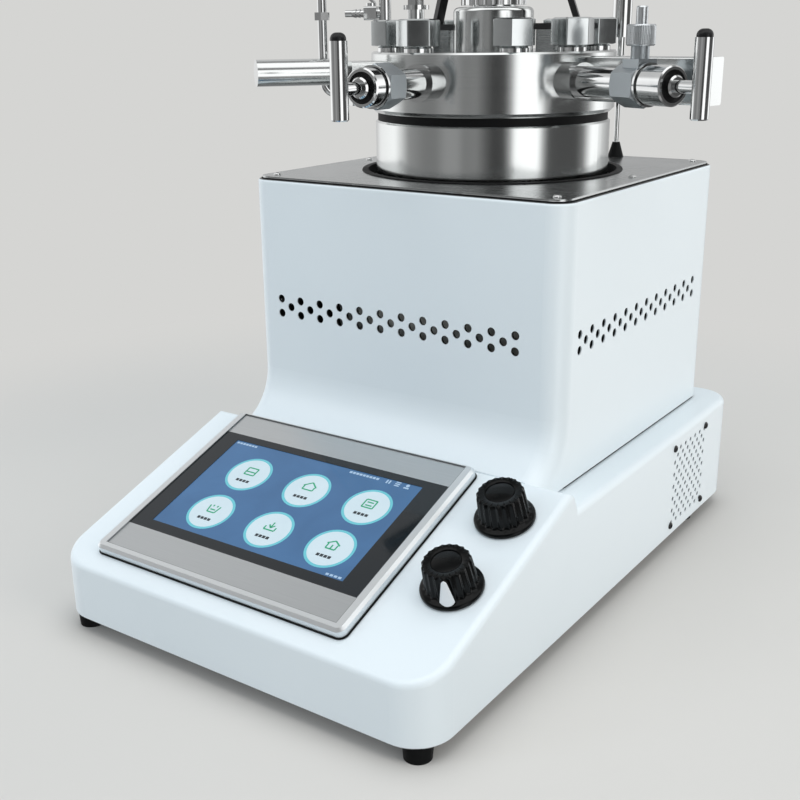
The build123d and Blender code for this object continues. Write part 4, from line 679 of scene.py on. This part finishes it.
# %% [markdown]
# ## Lid nuts
#
# The eight nuts are hot-forged hexagons, machined on both faces.  Forging leaves the six upright
# edges rounded by about 1 mm, and each catches a bright line of light.  So the outline is a
# hexagon pushed outwards by a small circle, and a cone takes the corners off the top.

# %% Lid nuts
NUT_TURNS = {210: 20, 257: 5, 311: 22, 346: 12, 30: 28, 75: 0, 112: 10, 148: 18}
NUT_FLATS, NUT_CIRCLE, EDGE = 25.0, 71.0, 1.1


def nut(centre, turned, low, high):
    """Rounded hexagon: an arc of 60 degrees round each corner of a smaller hexagon; every row
    keeps the smaller of that outline's radius and the row's own."""
    sixths = np.arange(6) * math.pi / 3 + math.radians(turned) + math.pi / 6
    arc = np.linspace(-math.pi / 6, math.pi / 6, 6)
    angle = sixths[:, None] + arc
    corner = (NUT_FLATS / 2 - EDGE) / math.cos(math.pi / 6)
    x = (corner * np.cos(sixths)[:, None] + EDGE * np.cos(angle)).ravel()
    y = (corner * np.sin(sixths)[:, None] + EDGE * np.sin(angle)).ravel()
    outer = np.hypot(x, y)
    rows = [(6.9, low), (12.2, low), (15, low + 0.5 * MM), (15, high - 1.5 * MM),
            (14.2, high - 1.0 * MM), (12.4, high - 0.25 * MM), (11.7, high), (8.0, high),
            (7.3, high - 0.6 * MM), (7.1, high - 2.6 * MM), (6.9, low)]
    limit = np.array([row[0] for row in rows])[:, None]
    scale = np.minimum(outer, limit) / outer * MM
    z = np.repeat(np.array([row[1] for row in rows])[:, None], x.size, 1)
    return np.stack([centre[0] + x * scale, centre[1] + y * scale, z], -1)


low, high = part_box("nuts")
nuts = []
for heading, turned in NUT_TURNS.items():
    away = math.radians(heading)
    x, y = NUT_CIRCLE * MM * math.cos(away), NUT_CIRCLE * MM * math.sin(away)
    nuts.append(nut((AXIS[0] + x, AXIS[1] + y), turned, low.z, high.z))
lid_nuts = surface("lid_nuts", nuts, "reactor", "forged_stainless", smooth=32)
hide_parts("nuts")
print(len(nuts), "nuts,", round((high.z - low.z) / MM, 1), "mm high")

# %% [markdown]
# ## Floor and light
#
# The reactor stands on pale warm grey paper.  Near it the paper is ordinary matt paper and takes
# the reactor's shadow; further off it fades, for the camera, to the plain grey of the background,
# so no horizon shows.  Polished metal looks like what stands round it, so mirror rays pass through
# the paper and see a small studio.  A ring of bright windows with dark gaps between them is
# drawn by compass angle, which upright steel shows, and an arch over the top by tilt, which lying
# steel shows.  Everything else is lit by an even cool sky and three soft lamps.

# %% Paper floor
PALE = "#D5D5D3"
FADE_FROM, FADE_TO = 0.42, 0.78
paper, tree, shader, place = blank("grey_paper")
fibre = add(tree, "TexNoise", {"Vector": place, "Scale": 3.0, "Detail": 2.0})[0]
tint = add(tree, "Mix", {0: fibre, 6: linear("#D2CEC9"), 7: linear("#D5D1CC")}, **COLOUR)[2]
plug(tree, shader, {"Base Color": tint, "Roughness": 0.9, "Specular IOR Level": 0.1})
flat = add(tree, "VectorMath", {0: place, 1: (1, 1, 0)}, operation="MULTIPLY")[0]
away = add(tree, "VectorMath", {0: flat}, operation="LENGTH")["Value"]
fade = {"Value": away, "From Min": FADE_FROM, "From Max": FADE_TO}
fade = add(tree, "MapRange", fade, interpolation_type="SMOOTHSTEP")[0]
rays = add(tree, "LightPath", {})
seen = {0: rays["Is Camera Ray"], 1: rays["Is Transmission Ray"]}
seen = add(tree, "Math", seen, operation="MAXIMUM")[0]
plain = add(tree, "Math", {0: fade, 1: seen}, operation="MULTIPLY")[0]
pale = add(tree, "Emission", {"Color": linear(PALE), "Strength": 1.0})[0]
blend = add(tree, "MixShader", {0: plain, 1: shader.outputs[0], 2: pale})[0]
clear = add(tree, "BsdfTransparent", {})[0]
blend = add(tree, "MixShader", {0: rays["Is Glossy Ray"], 1: blend, 2: clear})[0]
plug(tree, tree.nodes["Material Output"], {"Surface": blend})

floor_grid = lathe([(0, 0), (300, 0), (900, 0), (2500, 0), (9000, 0)], (0, 0, 0), (0, 0, 1), 48)
floor = surface("paper_floor", [floor_grid], "reactor", "grey_paper")

# %% World
# The ring's angles run left from the heading and the arch's run up from it, both in degrees; the
# second number of each pair is the brightness there.
HEADING, BRIGHTEST = 305, 2.0
RING = [(-180, 0.62), (-162, 0.7), (-146, 1.2), (-114, 1.5), (-104, 1.0), (-93, 0.4), (-72, 0.27),
        (-60, 0.27), (-49, 0.4), (-38, 0.4), (-31, 0.28), (-19, 0.31), (-11, 0.16), (-4, 0.07),
        (7, 0.07), (13, 0.5), (17, 1.7), (40, 1.8), (44, 0.7), (50, 0.1), (84, 0.1), (94, 0.28),
        (101, 1.0), (107, 1.7), (120, 1.5), (130, 0.8), (150, 0.45), (180, 0.62)]
ARCH = [(-180, 0.62), (-120, 0.14), (-66, 0.14), (-54, 0.45), (-44, 0.45), (-36, 0.2), (-24, 0.2),
        (-12, 0.5), (-5, 0.4), (2, 0.07), (38, 0.16), (48, 0.5), (54, 1.6), (94, 1.7), (101, 0.4),
        (116, 0.36), (126, 0.75), (150, 0.75), (180, 0.62)]
world = bpy.data.worlds.new("studio")
bpy.context.scene.world = world
world.use_nodes = True
tree = world.node_tree
facing = (math.cos(math.radians(HEADING)), math.sin(math.radians(HEADING)), 0)
glance = add(tree, "TexCoord", {})["Generated"]
way = add(tree, "SeparateXYZ", {0: glance})
compass = add(tree, "Math", {0: way["Y"], 1: way["X"]}, operation="ARCTAN2")[0]
compass = add(tree, "Math", {0: compass, 1: math.radians(HEADING)}, operation="SUBTRACT")[0]
compass = add(tree, "Math", {0: compass, 1: math.pi, 2: -math.pi}, operation="WRAP")[0]
ahead = add(tree, "VectorMath", {0: glance, 1: facing}, operation="DOT_PRODUCT")["Value"]
tilt = add(tree, "Math", {0: way["Z"], 1: ahead}, operation="ARCTAN2")[0]
colours = []
for angle, stops in ((compass, RING), (tilt, ARCH)):
    share = add(tree, "MapRange", {"Value": angle, "From Min": -math.pi, "From Max": math.pi})[0]
    colours.append(add(tree, "ValToRGB", {0: share})[0])
    ramp = colours[-1].node.color_ramp
    for turn, level in stops[2:]:
        ramp.elements.new((turn + 180) / 360)
    for stop, (turn, level) in zip(ramp.elements, stops):
        grey = level / BRIGHTEST
        stop.position, stop.color = (turn + 180) / 360, (grey, grey, grey, 1)
rise = add(tree, "Math", {0: way["Z"]}, operation="ABSOLUTE")[0]
steep = {"Value": rise, "From Min": 0.36, "From Max": 0.55}
steep = add(tree, "MapRange", steep, interpolation_type="SMOOTHSTEP")[0]
above = add(tree, "Mix", {0: steep, 6: colours[0], 7: colours[1]}, **COLOUR)[2]
rays = add(tree, "LightPath", {})
plain = {0: rays["Is Camera Ray"], 1: rays["Is Transmission Ray"]}
plain = add(tree, "Math", plain, operation="MAXIMUM")[0]
even = tree.nodes["Background"]
plug(tree, even, {"Color": linear("#E0EAF1"), "Strength": 0.82})
studio = add(tree, "Background", {"Color": above, "Strength": BRIGHTEST})[0]
paper = add(tree, "Background", {"Color": linear(PALE), "Strength": 1.0})[0]
lit = add(tree, "MixShader", {0: rays["Is Glossy Ray"], 1: even.outputs[0], 2: studio})[0]
sky = add(tree, "MixShader", {0: plain, 1: lit, 2: paper})[0]
plug(tree, tree.nodes["World Output"], {"Surface": sky})
world.cycles.sampling_method = "NONE"
print(len(RING) + len(ARCH), "stops in the ring and the arch")


# %% Lamps
def lamp(name, place, target, size, power, colour="#FFFFFF"):
    """A soft rectangular lamp that faces its target; mirrors see the drawn studio instead of it."""
    light = bpy.data.lights.new(name, "AREA")
    light.shape, light.size, light.size_y = "RECTANGLE", size[0], size[1]
    light.energy = power
    light.color = linear(colour)[:3]
    holder = bpy.data.objects.new(name, light)
    bpy.context.scene.collection.objects.link(holder)
    away = Vector(place) - Vector(target)
    turned = away.to_track_quat("Z", "Y").to_matrix().to_4x4()
    holder.matrix_world = Matrix.Translation(place) @ turned
    holder.visible_glossy = False


centre = (0, 0, 0.2)
lamp("overhead", (0.1, -0.2, 1.9), centre, (1.6, 1.6), 14)
lamp("right_window", (1.9, -0.2, 0.9), centre, (0.9, 1.6), 11, "#FFF8F0")
lamp("left_window", (-1.2, -1.6, 0.9), centre, (0.5, 1.4), 4.5, "#EAF3FF")
print(len(bpy.data.lights), "lamps")

# %% [markdown]
# ## Camera
#
# The camera looks down at the desk from the operator's front right, a little above the screen,
# with a 50 mm lens.  Its place and its three directions come from the same survey that sized the
# part; its place is counted from the vessel's axis, in metres.

# %% Camera
LENS, SENSOR = 50.23, 36
turn_round, look_down, lean = (math.radians(angle) for angle in (35.013, 18.333, -0.64))
level = math.cos(look_down)
back = np.array([math.sin(turn_round) * level, -math.cos(turn_round) * level, math.sin(look_down)])
right = np.array([math.cos(turn_round), math.sin(turn_round), 0])
up = np.cross(back, right)
right, up = (math.cos(lean) * right + math.sin(lean) * up,
             math.cos(lean) * up - math.sin(lean) * right)
view = bpy.data.cameras.new("camera")
view.lens, view.sensor_width = LENS, SENSOR
camera = bpy.data.objects.new("camera", view)
bpy.context.scene.collection.objects.link(camera)
stand = np.array([AXIS[0] + 0.41000, AXIS[1] - 0.70244, 0.36523])
rows = [(*row, spot) for row, spot in zip(np.stack([right, up, back], 1), stand)]
camera.matrix_world = Matrix(rows + [(0, 0, 0, 1)])
bpy.context.scene.camera = camera
bpy.context.scene.view_settings.view_transform = "Standard"
